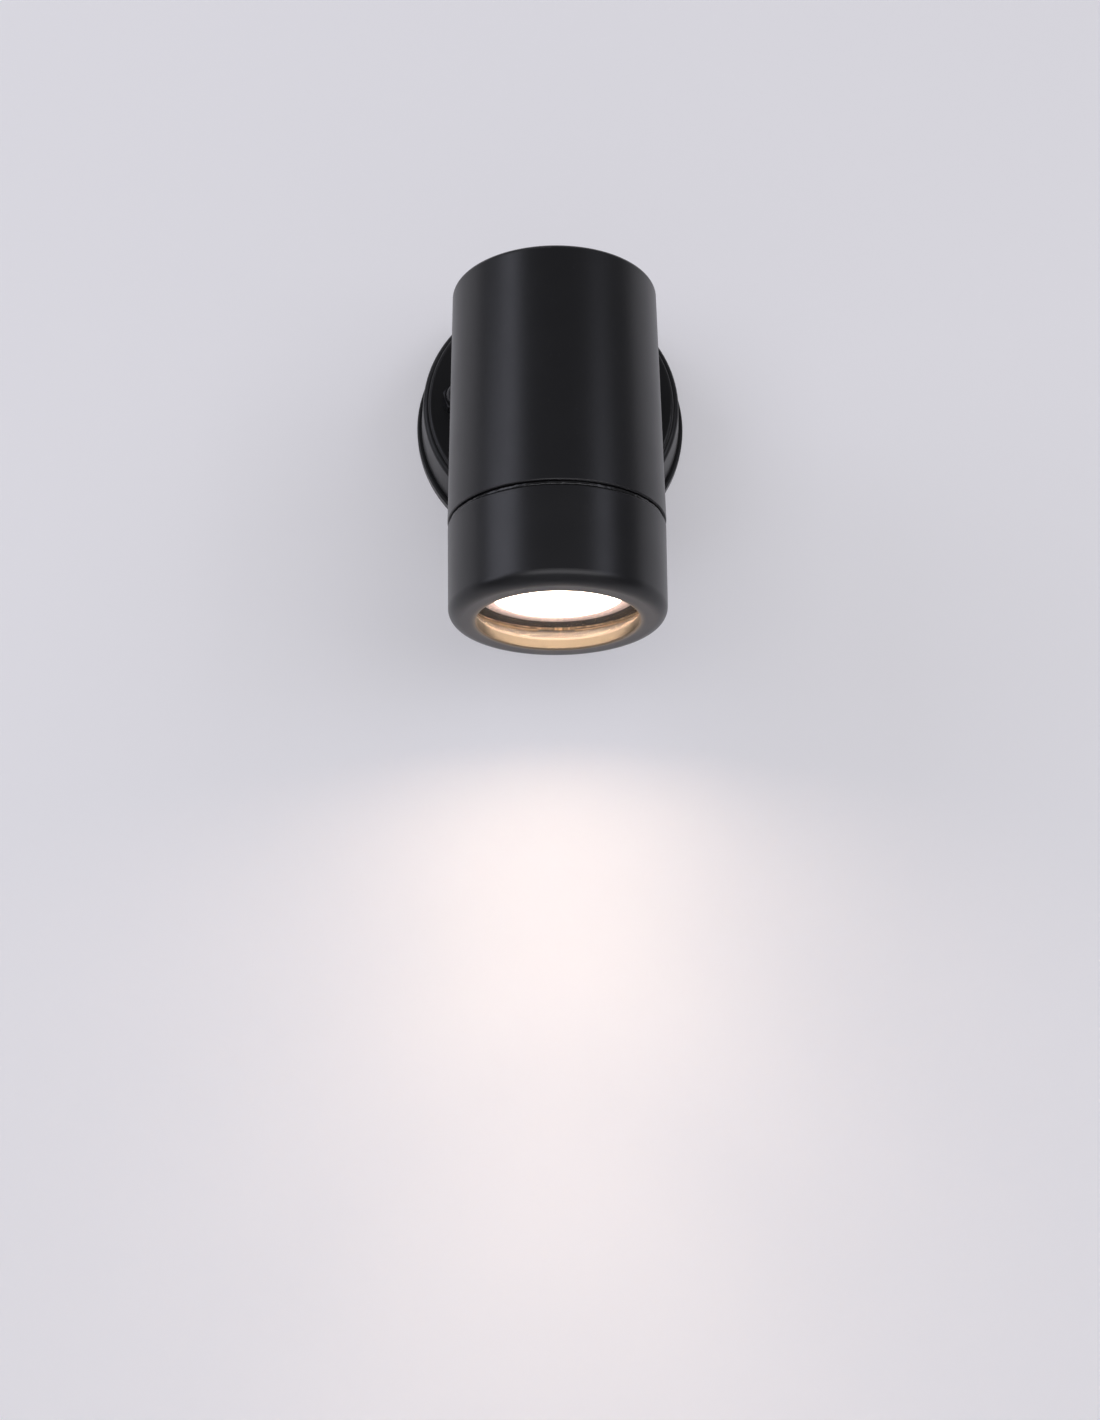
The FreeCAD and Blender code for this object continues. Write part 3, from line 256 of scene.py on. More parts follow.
class Finish:
    """A material under construction: its tree, its main shader and the object's coordinates."""

    def __init__(self, name, colour, roughness, **sockets):
        self.material = bpy.data.materials.new(name)
        self.material.use_nodes = True
        tree = self.material.node_tree
        self.shader = tree.nodes["Principled BSDF"]
        self.output = tree.nodes["Material Output"]
        self.tree = tree
        self.root = Wire(tree)
        self.shader.inputs["Base Color"].default_value = (*colour, 1)
        self.shader.inputs["Roughness"].default_value = roughness
        for key, value in sockets.items():
            self.shader.inputs[key.replace("_", " ")].default_value = value
        self.place = self.root.node("TexCoord", out=3)

    def feed(self, socket, wire):
        self.tree.links.new(wire.socket, self.shader.inputs[socket])

    def noise(self, size, detail=2.0, rough=0.5, place=None):
        """Cloudy noise with features of about that size, from 0 to 1."""
        values = {"Vector": place or self.place, "Scale": 1 / size, "Detail": detail,
                  "Roughness": rough}
        return self.root.node("TexNoise", None, values)

    def grains_round(self, turn, outward, up, detail, rough):
        """Noise that runs round the head's axis: it is laid over three wires as x, y and z."""
        spread = self.root.node("CombineXYZ", None, {0: turn, 1: outward, 2: up})
        return self.noise(1.0, detail, rough, spread)

    def stretched(self, along, factor):
        """The coordinates with one axis scaled, so that a pattern runs long along it."""
        scale = [1.0, 1.0, 1.0]
        scale["xyz".index(along)] = factor
        return self.root.node("VectorMath", {"operation": "MULTIPLY"}, {0: self.place, 1: scale})

    def bump(self, height, depth, strength):
        """Feeds a height from 0 to 1, worth depth metres, to the shader's normal."""
        values = {"Strength": strength, "Distance": depth, "Height": height}
        self.feed("Normal", self.root.node("Bump", None, values))

    def glow(self, share, colour, strength=1.0):
        """Light the surface gives off: a share of a colour."""
        self.shader.inputs["Emission Strength"].default_value = strength
        self.feed("Emission Color", self.mix(share, BLACK, colour))

    def mix(self, share, first, second):
        """A colour between two, each a tuple or a wire."""
        values = {0: share,
                  6: first if isinstance(first, Wire) else (*first, 1),
                  7: second if isinstance(second, Wire) else (*second, 1)}
        return self.root.node("Mix", {"data_type": "RGBA"}, values, out=2)

    def parts(self):
        """The x, y and z of the coordinates."""
        made = self.root.node("SeparateXYZ", None, {0: self.place}).socket.node
        return [Wire(self.tree, socket) for socket in made.outputs]

    def head_radius(self):
        """Distance from the head's axis, and z."""
        x, y, z = self.parts()
        return ((x - HEAD_X) ** 2.0 + (y - HEAD_Y) ** 2.0) ** 0.5, z

    def head_angle(self):
        """Angle round the head's axis in radians."""
        x, y, _ = self.parts()
        return self.root.maths("ARCTAN2", y - HEAD_Y, x - HEAD_X)


def toned(finish, colour, size, share):
    """Base colour that drifts a little in lightness over patches of that size."""
    dark = tuple(c * (1 - share) for c in colour)
    pale = tuple(min(1.0, c * (1 + share)) for c in colour)
    finish.feed("Base Color", finish.mix(finish.noise(size, 3.0), dark, pale))


# ------------------------------------------------------------------ the finishes
def moulded_black(settings, name="moulded_black"):
    """Satin black plastic: spark-eroded grain, faint flow clouds and a few dust specks."""
    roughness = settings.plastic_roughness
    finish = Finish(name, settings.plastic_colour, roughness)
    grain = finish.noise(settings.grain_size, 3.0, 0.6)
    clouds = finish.noise(14 * MM, 3.0)
    specks = finish.noise(0.8 * MM, 0.0).between(0.78, 0.83)
    finish.feed("Roughness", clouds * 0.08 + (roughness - 0.04) + grain * 0.03)
    colour = tuple(settings.plastic_colour)
    dust = tuple(c * 2.4 for c in colour)
    finish.feed("Base Color", finish.mix(specks * 0.5, colour, dust))
    finish.bump(grain, 0.012 * MM, 0.7)
    return finish


def ring_black(settings):
    """The head's plastic outside. Inside, the lip's bore is burnished by the mould and mirrors the
    lamp faintly, and the wall above the lens is a brown plated sleeve with draw marks along it.
    The sleeve, brighter along its draw marks, and the underside round the opening carry a painted
    warm glow, which stands in for the lamp's light and its glints on them."""
    roughness = settings.plastic_roughness
    finish = Finish("ring_black", settings.plastic_colour, roughness)
    radius, z = finish.head_radius()
    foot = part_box("front_ring")[0].z
    inside = radius.between(29.6 * MM, 29.2 * MM) * z.between(foot + 0.2 * MM, foot + 0.5 * MM)
    sleeve = inside * z.between(foot + 3.3 * MM, foot + 3.6 * MM)
    marks = finish.grains_round(finish.head_angle() * 24.0, z * 60.0, 0.0, 3.0, 0.65)
    bore_tone = (0.033, 0.0295, 0.024)
    sleeve_tone = finish.mix(marks.between(0.38, 0.66), (0.14, 0.085, 0.04), (0.85, 0.64, 0.40))
    inner_tone = finish.mix(sleeve, bore_tone, sleeve_tone)
    finish.feed("Base Color", finish.mix(inside, tuple(settings.plastic_colour), inner_tone))
    finish.feed("Metallic", inside)
    # Painted light: a warm glow on the sleeve, stronger along its draw marks, and a glow on the
    # underside round the opening. They stand in for the lamp's light and glare.
    painted_sleeve_glow = sleeve * (marks.between(0.30, 0.70) * 0.8 + 0.2)
    edge = z.between(foot + 0.6 * MM, foot + 0.2 * MM)
    painted_edge_glow = (radius.between(27.0 * MM, 24.3 * MM) ** 2.0) * edge
    finish.glow(painted_sleeve_glow * 0.42 + painted_edge_glow * 0.16, (0.86, 0.58, 0.34))
    clouds = finish.noise(14 * MM, 3.0)
    finish.feed("Roughness", clouds * 0.08 + (roughness - 0.04) - sleeve * 0.08 + inside * 0.02)
    grain = finish.noise(settings.grain_size, 3.0, 0.6)
    finish.bump(grain * 0.1 * (1 - inside) + marks * sleeve, 0.12 * MM, 0.7)
    return finish


def painted_black(settings):
    """Satin paint over cast metal: slight orange peel."""
    roughness = settings.paint_roughness
    finish = Finish("painted_black", settings.paint_colour, roughness, Specular_IOR_Level=0.35)
    peel = finish.noise(1.1 * MM, 2.0)
    finish.feed("Roughness", finish.noise(9 * MM, 3.0) * 0.07 + (roughness - 0.035))
    toned(finish, tuple(settings.paint_colour), 6 * MM, 0.12)
    finish.bump(peel, 0.02 * MM, 0.5)
    return finish


def blackened_steel(settings):
    """Black oxide on steel: slightly patchy, with bare metal glinting on the finest scratches."""
    colour = (0.018, 0.018, 0.02)
    finish = Finish("blackened_steel", colour, 0.3, Metallic=0.6)
    toned(finish, colour, 1.5 * MM, 0.35)
    finish.feed("Roughness", finish.noise(0.9 * MM, 4.0) * 0.22 + 0.22)
    finish.bump(finish.noise(0.35 * MM, 3.0), 0.01 * MM, 0.6)
    return finish


def seal_rubber(name="seal_rubber", roughness=0.42):
    """Black rubber with a fine skin and faint bloom."""
    colour = (0.011, 0.011, 0.0115)
    finish = Finish(name, colour, roughness)
    bloom = finish.noise(4 * MM, 4.0).between(0.55, 0.8)
    finish.feed("Base Color", finish.mix(bloom * 0.35, colour, (0.03, 0.03, 0.031)))
    finish.feed("Roughness", finish.noise(1.2 * MM, 3.0) * 0.16 + (roughness - 0.08))
    finish.bump(finish.noise(0.4 * MM, 3.0), 0.02 * MM, 0.5)
    return finish


def foam_tape():
    """Closed-cell foam: a close pattern of round cells."""
    finish = Finish("foam_tape", (0.06, 0.06, 0.062), 0.9)
    cells = finish.root.node("TexVoronoi", None, {"Vector": finish.place, "Scale": 1 / (0.45 * MM)})
    finish.feed("Base Color", finish.mix(cells, (0.035, 0.035, 0.037), (0.09, 0.09, 0.092)))
    finish.bump(1 - cells, 0.12 * MM, 0.8)
    return finish


def zinc_steel():
    """Zinc-plated steel: pale, finely scratched, with duller patches."""
    finish = Finish("zinc_steel", (0.60, 0.61, 0.63), 0.32, Metallic=1.0)
    patches = finish.noise(1.8 * MM, 4.0)
    lines = finish.noise(0.12 * MM, 2.0, 0.6, finish.stretched("y", 0.08))
    finish.feed("Base Color", finish.mix(patches, (0.50, 0.51, 0.53), (0.68, 0.69, 0.70)))
    finish.feed("Roughness", patches * 0.16 + 0.22 + lines * 0.08)
    finish.bump(lines, 0.006 * MM, 0.5)
    return finish


def turned_brass():
    """Machined brass with tool marks round it and slight tarnish."""
    finish = Finish("turned_brass", (0.72, 0.54, 0.27), 0.3, Metallic=1.0)
    tarnish = finish.noise(1.2 * MM, 4.0).between(0.45, 0.8)
    marks = finish.noise(0.1 * MM, 1.0, 0.5, finish.stretched("x", 0.15))
    finish.feed("Base Color", finish.mix(tarnish, (0.76, 0.58, 0.30), (0.46, 0.33, 0.17)))
    finish.feed("Roughness", tarnish * 0.2 + 0.24)
    finish.bump(marks, 0.008 * MM, 0.5)
    return finish


def natural_nylon():
    """Natural nylon: milky, faintly mottled, slightly see-through at its edges."""
    colour = (0.74, 0.71, 0.62)
    finish = Finish("natural_nylon", colour, 0.46, Subsurface_Weight=0.15,
                    Subsurface_Scale=1.5 * MM)
    toned(finish, colour, 3 * MM, 0.06)
    finish.feed("Roughness", finish.noise(1.5 * MM, 3.0) * 0.1 + 0.41)
    finish.bump(finish.noise(0.3 * MM, 2.0), 0.01 * MM, 0.4)
    return finish


def lens_glass(settings):
    """Clear flat glass with ground edges: the edge scatters light, the faces hardly show."""
    finish = Finish("lens_glass", (0.86, 0.80, 0.72), 0.04)
    radius, _ = finish.head_radius()
    edge = radius.between(LENS_RADIUS - 0.25 * MM, LENS_RADIUS)
    facing = finish.root.node("LayerWeight", None, {"Blend": 0.25})
    dust = finish.noise(0.7 * MM, 2.0).between(0.66, 0.8)
    finish.feed("Alpha", edge * 0.05 + facing * 0.06 + dust * 0.02 + settings.glass_haze)
    finish.feed("Roughness", edge * 0.4 + 0.04)
    finish.bump(finish.noise(0.15 * MM, 2.0) * edge, 0.02 * MM, 0.5)
    return finish


def lens_silicone():
    """Smoky translucent silicone, paler in its thin inner lip than in the thick part round the
    glass."""
    thick, thin = (0.026, 0.019, 0.0125), (0.10, 0.072, 0.048)
    finish = Finish("lens_silicone", thick, 0.42, Subsurface_Weight=0.2, Subsurface_Scale=1 * MM)
    radius, _ = finish.head_radius()
    pale = radius.between(26.2 * MM, 25.4 * MM)
    tone = finish.mix(finish.noise(2 * MM, 2.0) * 0.4 + pale * 0.6, thick, thin)
    finish.feed("Base Color", tone)
    finish.feed("Roughness", finish.noise(1.0 * MM, 3.0) * 0.14 + 0.35)
    finish.bump(finish.noise(0.5 * MM, 2.0), 0.015 * MM, 0.4)
    return finish


def spring_wire():
    """Bright-drawn spring wire, tempered brown, with fine die lines."""
    finish = Finish("spring_wire", (0.20, 0.14, 0.09), 0.3, Metallic=1.0)
    lines = finish.noise(0.2 * MM, 2.0, 0.6, finish.stretched("z", 4.0))
    temper = finish.noise(2.5 * MM, 3.0)
    finish.feed("Base Color", finish.mix(temper, (0.14, 0.095, 0.06), (0.28, 0.20, 0.13)))
    finish.feed("Roughness", lines * 0.2 + 0.22)
    finish.bump(lines, 0.006 * MM, 0.5)
    return finish


def holder_ceramic():
    """Unglazed steatite: chalky, with dark grog specks."""
    finish = Finish("holder_ceramic", (0.80, 0.77, 0.70), 0.62)
    grog = finish.noise(0.35 * MM, 1.0).between(0.70, 0.76)
    tone = finish.mix(finish.noise(5 * MM, 3.0), (0.74, 0.71, 0.64), (0.84, 0.81, 0.75))
    finish.feed("Base Color", finish.mix(grog * 0.6, tone, (0.38, 0.34, 0.29)))
    finish.feed("Roughness", finish.noise(1.0 * MM, 3.0) * 0.18 + 0.54)
    finish.bump(finish.noise(0.18 * MM, 4.0, 0.7), 0.025 * MM, 0.6)
    return finish


def lead_sleeving():
    """Woven glass sleeving on the leads: a fine crossing braid whose low places are painted darker,
    as painted shade in the weave's hollows.
    """
    finish = Finish("lead_sleeving", (0.26, 0.13, 0.08), 0.7)
    x, y, z = finish.parts()
    along = (x + y + z) * (2 * pi / (0.7 * MM))
    turn = finish.root.maths("ARCTAN2", y, x) * 8.0
    one = finish.root.maths("SINE", along + turn)
    two = finish.root.maths("SINE", along - turn)
    braid = (one * two) * 0.5 + 0.5
    # Painted shade: the colour follows the braid's height, so it is darker in the weave's hollows.
    finish.feed("Base Color", finish.mix(braid, (0.16, 0.075, 0.045), (0.36, 0.19, 0.12)))
    finish.feed("Roughness", braid * 0.12 + 0.62)
    finish.bump(braid, 0.06 * MM, 0.8)
    return finish


def lamp_grey(settings):
    """Pale plastic of the lamp's housing. Next to the lit face, and in streaks round it, it carries
    a painted glow that stands in for the lamp's light on its rim.
    """
    colour = (0.42, 0.37, 0.41)
    finish = Finish("lamp_grey", colour, 0.35)
    radius, z = finish.head_radius()
    toned(finish, colour, 2.5 * MM, 0.08)
    grains = finish.grains_round(finish.head_angle() * 34.0, radius * 900.0, z * 300.0, 4.0, 0.7)
    front = z.between(SHELL_LOW.z + 2.5 * MM, SHELL_LOW.z + 0.5 * MM)
    near = radius.between(24.6 * MM, 20.6 * MM)
    # Painted light: the housing glows next to the lit face and in streaks round the rim, standing
    # in for the lamp's light on it.
    share = front * (near * 0.95 + 0.12) * (grains.between(0.25, 0.75) * 0.75 + 0.25)
    warm = tuple(c * s for c, s in zip(settings.light_colour, (1.0, 0.98, 1.15)))
    finish.glow(share, warm)
    finish.feed("Roughness", finish.noise(0.8 * MM, 3.0) * 0.12 + 0.3)
    finish.bump(finish.noise(0.3 * MM, 2.0), 0.01 * MM, 0.4)
    return finish


def lamp_light(settings):
    """Lit diffuser: strongest over its small lenses' middles and weaker out to the rim."""
    finish = Finish("lamp_light", (0.92, 0.88, 0.80), 0.35)
    radius, z = finish.head_radius()
    centre = radius.between(LAMP_FACE_RADIUS, LAMP_FACE_RADIUS - 1.2 * MM)
    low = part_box("lamp_face")[0].z
    crown = z.between(low + settings.lenslet_depth, low)
    level = centre * 0.86 + 0.08 + crown * 0.06
    finish.glow(level, tuple(settings.light_colour), settings.strength)
    return finish


def give(name, finish):
    """Puts a finish on a solid part that stays as it is."""
    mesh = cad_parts[name].data
    mesh.materials.clear()
    mesh.materials.append(finish.material)


# ------------------------------------------------------------------ surfaces
def grid_faces(rows, columns, close_rows, close_columns):
    """Quads of a grid of points, wrapped round in either direction where it is closed."""
    r = np.arange(rows if close_rows else rows - 1)
    c = np.arange(columns if close_columns else columns - 1)
    r, c = [a.ravel() for a in np.meshgrid(r, c, indexing="ij")]
    r1, c1 = (r + 1) % rows, (c + 1) % columns
    return np.stack([r * columns + c, r1 * columns + c, r1 * columns + c1, r * columns + c1], 1)


def outward(points, faces):
    """Turns the faces round if they enclose a negative volume."""
    a, b, c = [points[faces[:, i]] for i in range(3)]
    volume = np.einsum("ij,ij->i", a, np.cross(b, c)).sum()
    if faces.shape[1] == 4:
        d = points[faces[:, 3]]
        volume += np.einsum("ij,ij->i", a, np.cross(c, d)).sum()
    return faces if volume > 0 else faces[:, ::-1]


def in_scene(name, data):
    """Puts an object with that data in the scene."""
    made = bpy.data.objects.new(name, data)
    bpy.context.scene.collection.objects.link(made)
    return made


def mesh_piece(name, points, faces, material, body, caps=()):
    """Makes an object at the origin from points in metres, quads and any end caps."""
    faces = outward(points, faces)
    mesh = bpy.data.meshes.new(name)
    mesh.from_pydata(points.tolist(), [], faces.tolist() + [list(cap) for cap in caps])
    mesh.polygons.foreach_set("use_smooth", np.ones(len(mesh.polygons), bool))
    mesh.materials.append(material)
    mesh.update()
    mesh.validate()
    piece = in_scene(name, mesh)
    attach(piece, body)
    return piece


def around_head(radius, height, angle):
    """Points at those radii, heights and angles round the head's axis, in metres."""
    radius, height, angle = np.broadcast_arrays(radius, height, angle)
    x = HEAD_X + radius * np.cos(angle)
    y = HEAD_Y + radius * np.sin(angle)
    return np.stack([x, y, height], -1)


def shade(piece, sharp):
    """Smooth, but for edges sharper than that many degrees."""
    piece.data.set_sharp_from_angle(angle=radians(sharp))


def recalculate(piece):
    """Makes every face of a closed piece point outwards."""
    cage = bmesh.new()
    cage.from_mesh(piece.data)
    bmesh.ops.recalc_face_normals(cage, faces=cage.faces)
    cage.to_mesh(piece.data)
    cage.free()


def full_turn(columns):
    """Angles of that many even steps round a circle, in radians."""
    return np.arange(columns) * 2 * pi / columns


def turned(name, radius, height, material, body):
    """Closed turned piece. radius and height are arrays of stations by angles, and the first
    and last stations are on the axis, where each row shrinks to one point."""
    columns = radius.shape[1]
    ring = around_head(radius[1:-1], height[1:-1], full_turn(columns)[None, :])
    rows = ring.shape[0]
    points = np.concatenate([ring.reshape(-1, 3), [[HEAD_X, HEAD_Y, height[0, 0]]],
                             [[HEAD_X, HEAD_Y, height[-1, 0]]]])
    faces = grid_faces(rows, columns, False, True)
    here = np.arange(columns)
    after = (here + 1) % columns
    low, high = rows * columns, rows * columns + 1
    last = (rows - 1) * columns
    turned_right = outward(points, faces) is faces
    fan_low = np.stack([np.full(columns, low), here, after], 1)
    fan_high = np.stack([np.full(columns, high), last + after, last + here], 1)
    if not turned_right:
        fan_low, fan_high = fan_low[:, ::-1], fan_high[:, ::-1]
    caps = [*fan_low.tolist(), *fan_high.tolist()]
    piece = mesh_piece(name, points, faces, material, body, caps)
    shade(piece, 35)
    return piece


def smooth_noise(angle, seed, waves, strength):
    """Sum of sines round a circle: wave numbers, a falling strength and phases from the seed."""
    phases = np.random.default_rng(seed).uniform(0, 2 * pi, len(waves))
    total = sum(np.sin(n * angle + p) / (1 + i) for i, (n, p) in enumerate(zip(waves, phases)))
    return strength * total / sum(1 / (1 + i) for i in range(len(waves)))


# ------------------------------------------------------------------ pieces
def make_seam_ring(settings):
    """Rubber ring in the seam. Its section is a squared circle, |u|^n + |v|^n = 1, of half width
    a and half height b. Going round, a swells and shrinks by a sum of slow sines and carries
    two sets of fine folds that lean with the section, so the pressed rubber stands out unevenly."""
    low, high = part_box("seam_ring")
    proud, groove_depth, squareness = 0.1 * MM, 3.2 * MM, 3.4
    outer = (high.x - low.x) / 2 + proud
    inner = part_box("head_body")[1].x - groove_depth
    turns, steps = 1500, 44
    angle = full_turn(turns)[:, None]
    section = full_turn(steps)[None, :]
    swell = smooth_noise(angle, 4, (3, 5, 8, 13, 21), settings.bulge)
    folds = sum(smooth_noise(angle + tilt * np.sin(section), seed, waves, settings.ripple)
                for seed, tilt, waves in ((9, 0.05, (57, 91, 133)), (17, -0.07, (43, 76, 118))))
    reach = outer - settings.bulge + np.minimum(swell + folds, settings.bulge)
    half = (reach - inner) / 2
    tall = (high.z - low.z) / 2
    power = 2 / squareness
    across = np.sign(np.cos(section)) * np.abs(np.cos(section)) ** power
    upward = np.sign(np.sin(section)) * np.abs(np.sin(section)) ** power
    radius = inner + half + half * across
    height = (low.z + high.z) / 2 + tall * upward
    points = around_head(radius, height, angle).reshape(-1, 3)
    material = seal_rubber("seam_rubber", 0.2).material
    piece = mesh_piece("seam_rubber_ring", points, grid_faces(turns, steps, True, True), material,
                       "head")
    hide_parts("seam_ring")


def lenslet_height(x, y, pitch):
    """1 over the middle of each small lens of a close hexagonal pattern and falling with the
    square of the distance to its nearest middle."""
    best = np.full(x.shape, 1e9)
    row = pitch * np.sqrt(3) / 2
    for odd in (0, 1):
        j = np.round((y / row - odd) / 2) * 2 + odd
        shift = 0.5 * pitch * odd
        i = np.round((x - shift) / pitch)
        distance = (x - shift - i * pitch) ** 2 + (y - j * row) ** 2
        best = np.minimum(best, distance)
    return 1 - best / (pitch * pitch / 3)


def make_lamp_face(settings):
    """Lamp's front: a disc whose underside is set with small lenses, faded out near its edge."""
    low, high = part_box("lamp_face")
    rim, rings, columns = LAMP_FACE_RADIUS, 118, 432
    groove, lip = rim - 0.6 * MM, rim - 0.3 * MM
    angle = full_turn(columns)[None, :]
    out = np.linspace(0, rim, rings)[:, None]
    dome = lenslet_height(out * np.cos(angle), out * np.sin(angle), settings.lenslet_pitch)
    fade = np.clip((groove - out) / (0.8 * MM), 0, 1)
    under = low.z + settings.lenslet_depth * (1 - dome * fade)
    edge = low.z + settings.lenslet_depth * (out < lip)
    under = np.where(out > groove, edge, under)
    seat = low.z + 1.9 * MM
    flange = (high.x - low.x) / 2
    rest = np.array([[rim, seat], [flange, seat], [flange, high.z - 0.2 * MM],
                     [flange - 0.2 * MM, high.z], [flange / 2, high.z], [0, high.z]])
    radius = np.concatenate([np.broadcast_to(out, (rings, columns)),
                             np.broadcast_to(rest[:, :1], (len(rest), columns))])
    height = np.concatenate([np.broadcast_to(under, (rings, columns)),
                             np.broadcast_to(rest[:, 1:], (len(rest), columns))])
    material = lamp_light(settings).material
    piece = turned("lamp_front", radius, height, material, "lamp")
    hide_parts("lamp_face")


def make_lamp_shell(settings):
    """Lamp's housing: a turned outline, inside and out. Its rim and the lower part of its cone
    are fluted: the radius falls by the flute depth times a raised cosine round the axis."""
    low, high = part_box("lamp_shell")
    cavity_top = 48.5
    # Millimetres from the axis, millimetres above the face, share of the flutes' depth. The
    # outside ends on the axis; the inside starts there and ends where the front is seated.
    outside = np.array([
        (20.5, 1.9, 0), (20.5, 0.35, 0), (20.6, 0.12, 0), (20.8, 0, 0), (21.4, 0, 0),
        (21.8, 0.05, 0.7), (23.4, 0.05, 1), (24.2, 0.05, 1), (24.6, 0.12, 1), (24.88, 0.34, 1),
        (25.0, 0.75, 1), (25.0, 2.2, 1), (25.0, 4.2, 1), (25.0, 5.4, 1), (24.9, 6.0, 0.6),
        (24.5, 7.2, 0.5), (21.6, 14.0, 0.5), (18.0, 22.4, 0.5), (14.4, 30.8, 0.4),
        (13.2, 33.3, 0.1), (12.5, 34.6, 0), (12.4, 36.0, 0), (12.4, 46.0, 0), (12.4, 49.25, 0),
        (12.18, 49.78, 0), (11.65, 50.0, 0), (6.0, 50.0, 0)])
    inside = np.array([
        (10.9, cavity_top, 0), (10.9, 36.0, 0), (11.2, 34.2, 0), (12.2, 32.4, 0), (22.0, 6.4, 0),
        (22.0, 1.9, 0)])
    radii, heights, shares = np.concatenate([outside, inside]).T[:, :, None]
    columns = settings.flutes * 4
    angle = full_turn(columns)[None, :]
    flute = settings.flute_depth * (0.5 - 0.5 * np.cos(settings.flutes * angle)) * shares
    flat_front = (heights < 0.2) & (shares > 0)
    height = low.z + heights * MM + np.where(flat_front, flute, 0)
    points = around_head(radii * MM - flute, height, angle).reshape(-1, 3)
    tips = [[HEAD_X, HEAD_Y, high.z], [HEAD_X, HEAD_Y, low.z + cavity_top * MM]]
    top, ceiling = len(points), len(points) + 1
    points = np.concatenate([points, tips])
    first_in = len(outside) * columns
    last_out = first_in - columns
    last_in = (len(outside) + len(inside) - 1) * columns
    here = np.arange(columns)
    after = (here + 1) % columns
    seat = np.stack([last_in + here, here, after, last_in + after], 1)
    fan_top = np.stack([np.full(columns, top), last_out + here, last_out + after], 1)
    fan_ceiling = np.stack([np.full(columns, ceiling), first_in + after, first_in + here], 1)
    part_out = grid_faces(len(outside), columns, False, True)
    part_in = grid_faces(len(inside), columns, False, True) + first_in
    faces = np.concatenate([part_out[:, ::-1], part_in[:, ::-1], seat])
    material = lamp_grey(settings).material
    piece = mesh_piece("lamp_housing", points, faces, material, "lamp",
                       [*fan_top.tolist(), *fan_ceiling.tolist()])
    recalculate(piece)
    shade(piece, 40)
    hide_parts("lamp_shell")


def make_thread(name, settings, core, outwards, start, turns, body, material):
    """One ridge of a screw thread on a core of that radius: a flat-topped section carried along a
    right-hand helix, whose height is the start plus the lead times the turns made. The ridge
    grows from nothing in the first quarter turn and dies away in the last."""
    steps_a_turn, quarters = 96, 4
    along = np.linspace(0, 1, int(steps_a_turn * turns) + 1)[:, None]
    angle = along * turns * 2 * pi
    middle = start + along * turns * settings.lead
    grow = np.clip(np.minimum(along, 1 - along) * turns * quarters, 0, 1)
    sink = 0.15 * MM
    half = settings.width / 2
    crest = half * 0.45
    thin = 0.35
    side = 1 if outwards else -1
    level = np.array([(-sink, -half), (0.0, -half), (1.0, -crest), (1.0, crest), (0.0, half),
                      (-sink, half)])
    rise = np.where(level[None, :, 0] > 0, settings.height * grow, level[None, :, 0])
    height = middle + level[None, :, 1] * (thin + (1 - thin) * grow)
    points = around_head(core + side * rise, height, angle)
    rows, columns = points.shape[:2]
    points = points.reshape(-1, 3)
    faces = grid_faces(rows, columns, False, True)
    ends = [list(range(columns)), list(range((rows - 1) * columns, rows * columns))]
    piece = mesh_piece(name, points, faces, material, body, ends)
    recalculate(piece)
    shade(piece, 30)


# ------------------------------------------------------------------ stage
def flat_sheet(name, corners, material):
    """A plain four-cornered sheet of the stage."""
    mesh = bpy.data.meshes.new(name)
    mesh.from_pydata(corners, [], [(0, 1, 2, 3)])
    mesh.materials.append(material)
    in_scene(name, mesh)


def wall_finish(settings):
    """Smooth painted plaster, seen from its front only: from behind it is clear. The camera and
    reflections see it a little brighter than the lamps make it."""
    finish = Finish("wall_paint", settings.wall_colour, 0.9)
    toned(finish, tuple(settings.wall_colour), 0.25, 0.012)
    finish.bump(finish.noise(2.5 * MM, 3.0), 0.03 * MM, 0.25)
    seen = (finish.root.node("LightPath", out="Is Camera Ray")
            + finish.root.node("LightPath", out="Is Glossy Ray"))
    finish.glow(seen, LAMP_WHITE, settings.wall_glow)
    back = finish.root.node("NewGeometry", out="Backfacing")
    plaster = Wire(finish.tree, finish.shader.outputs[0])
    clear = finish.root.node("BsdfTransparent")
    blend = finish.root.node("MixShader", None, {0: back, 1: plaster, 2: clear})
    finish.tree.links.new(blend.socket, finish.output.inputs[0])
    return finish


def floor_finish(settings):
    """Plain pale floor."""
    finish = Finish("floor_paint", settings.floor_colour, 0.8)
    toned(finish, tuple(settings.floor_colour), 0.3, 0.01)
    return finish


def soft_lamp(name, side, height, away, size, power, colour, aim):
    """Oblong soft lamp at an angle round the light's front, turned to a point on it."""
    data = bpy.data.lights.new(name, "AREA")
    data.shape = "RECTANGLE"
    data.size, data.size_y = size
    data.energy = power
    data.color = colour
    lamp = in_scene(name, data)
    turn, lift = radians(side), radians(height)
    place = Vector((sin(turn) * cos(lift), -cos(turn) * cos(lift), sin(lift))) * away
    lamp.location = Vector(aim) + place
    lamp.rotation_euler = (-place).to_track_quat("-Z", "Y").to_euler()


def lamp_cone(name, power, angle, colour):
    """Soft cone of light that leaves the lamp straight through the lens and moves with the lamp."""
    data = bpy.data.lights.new(name, "SPOT")
    data.energy = power
    data.color = colour
    data.spot_size = angle
    data.spot_blend = 1
    data.shadow_soft_size = 8 * MM
    cone = in_scene(name, data)
    cone.location = (HEAD_X, HEAD_Y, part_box("lens_glass")[0].z - 1 * MM)
    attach(cone, "lamp")


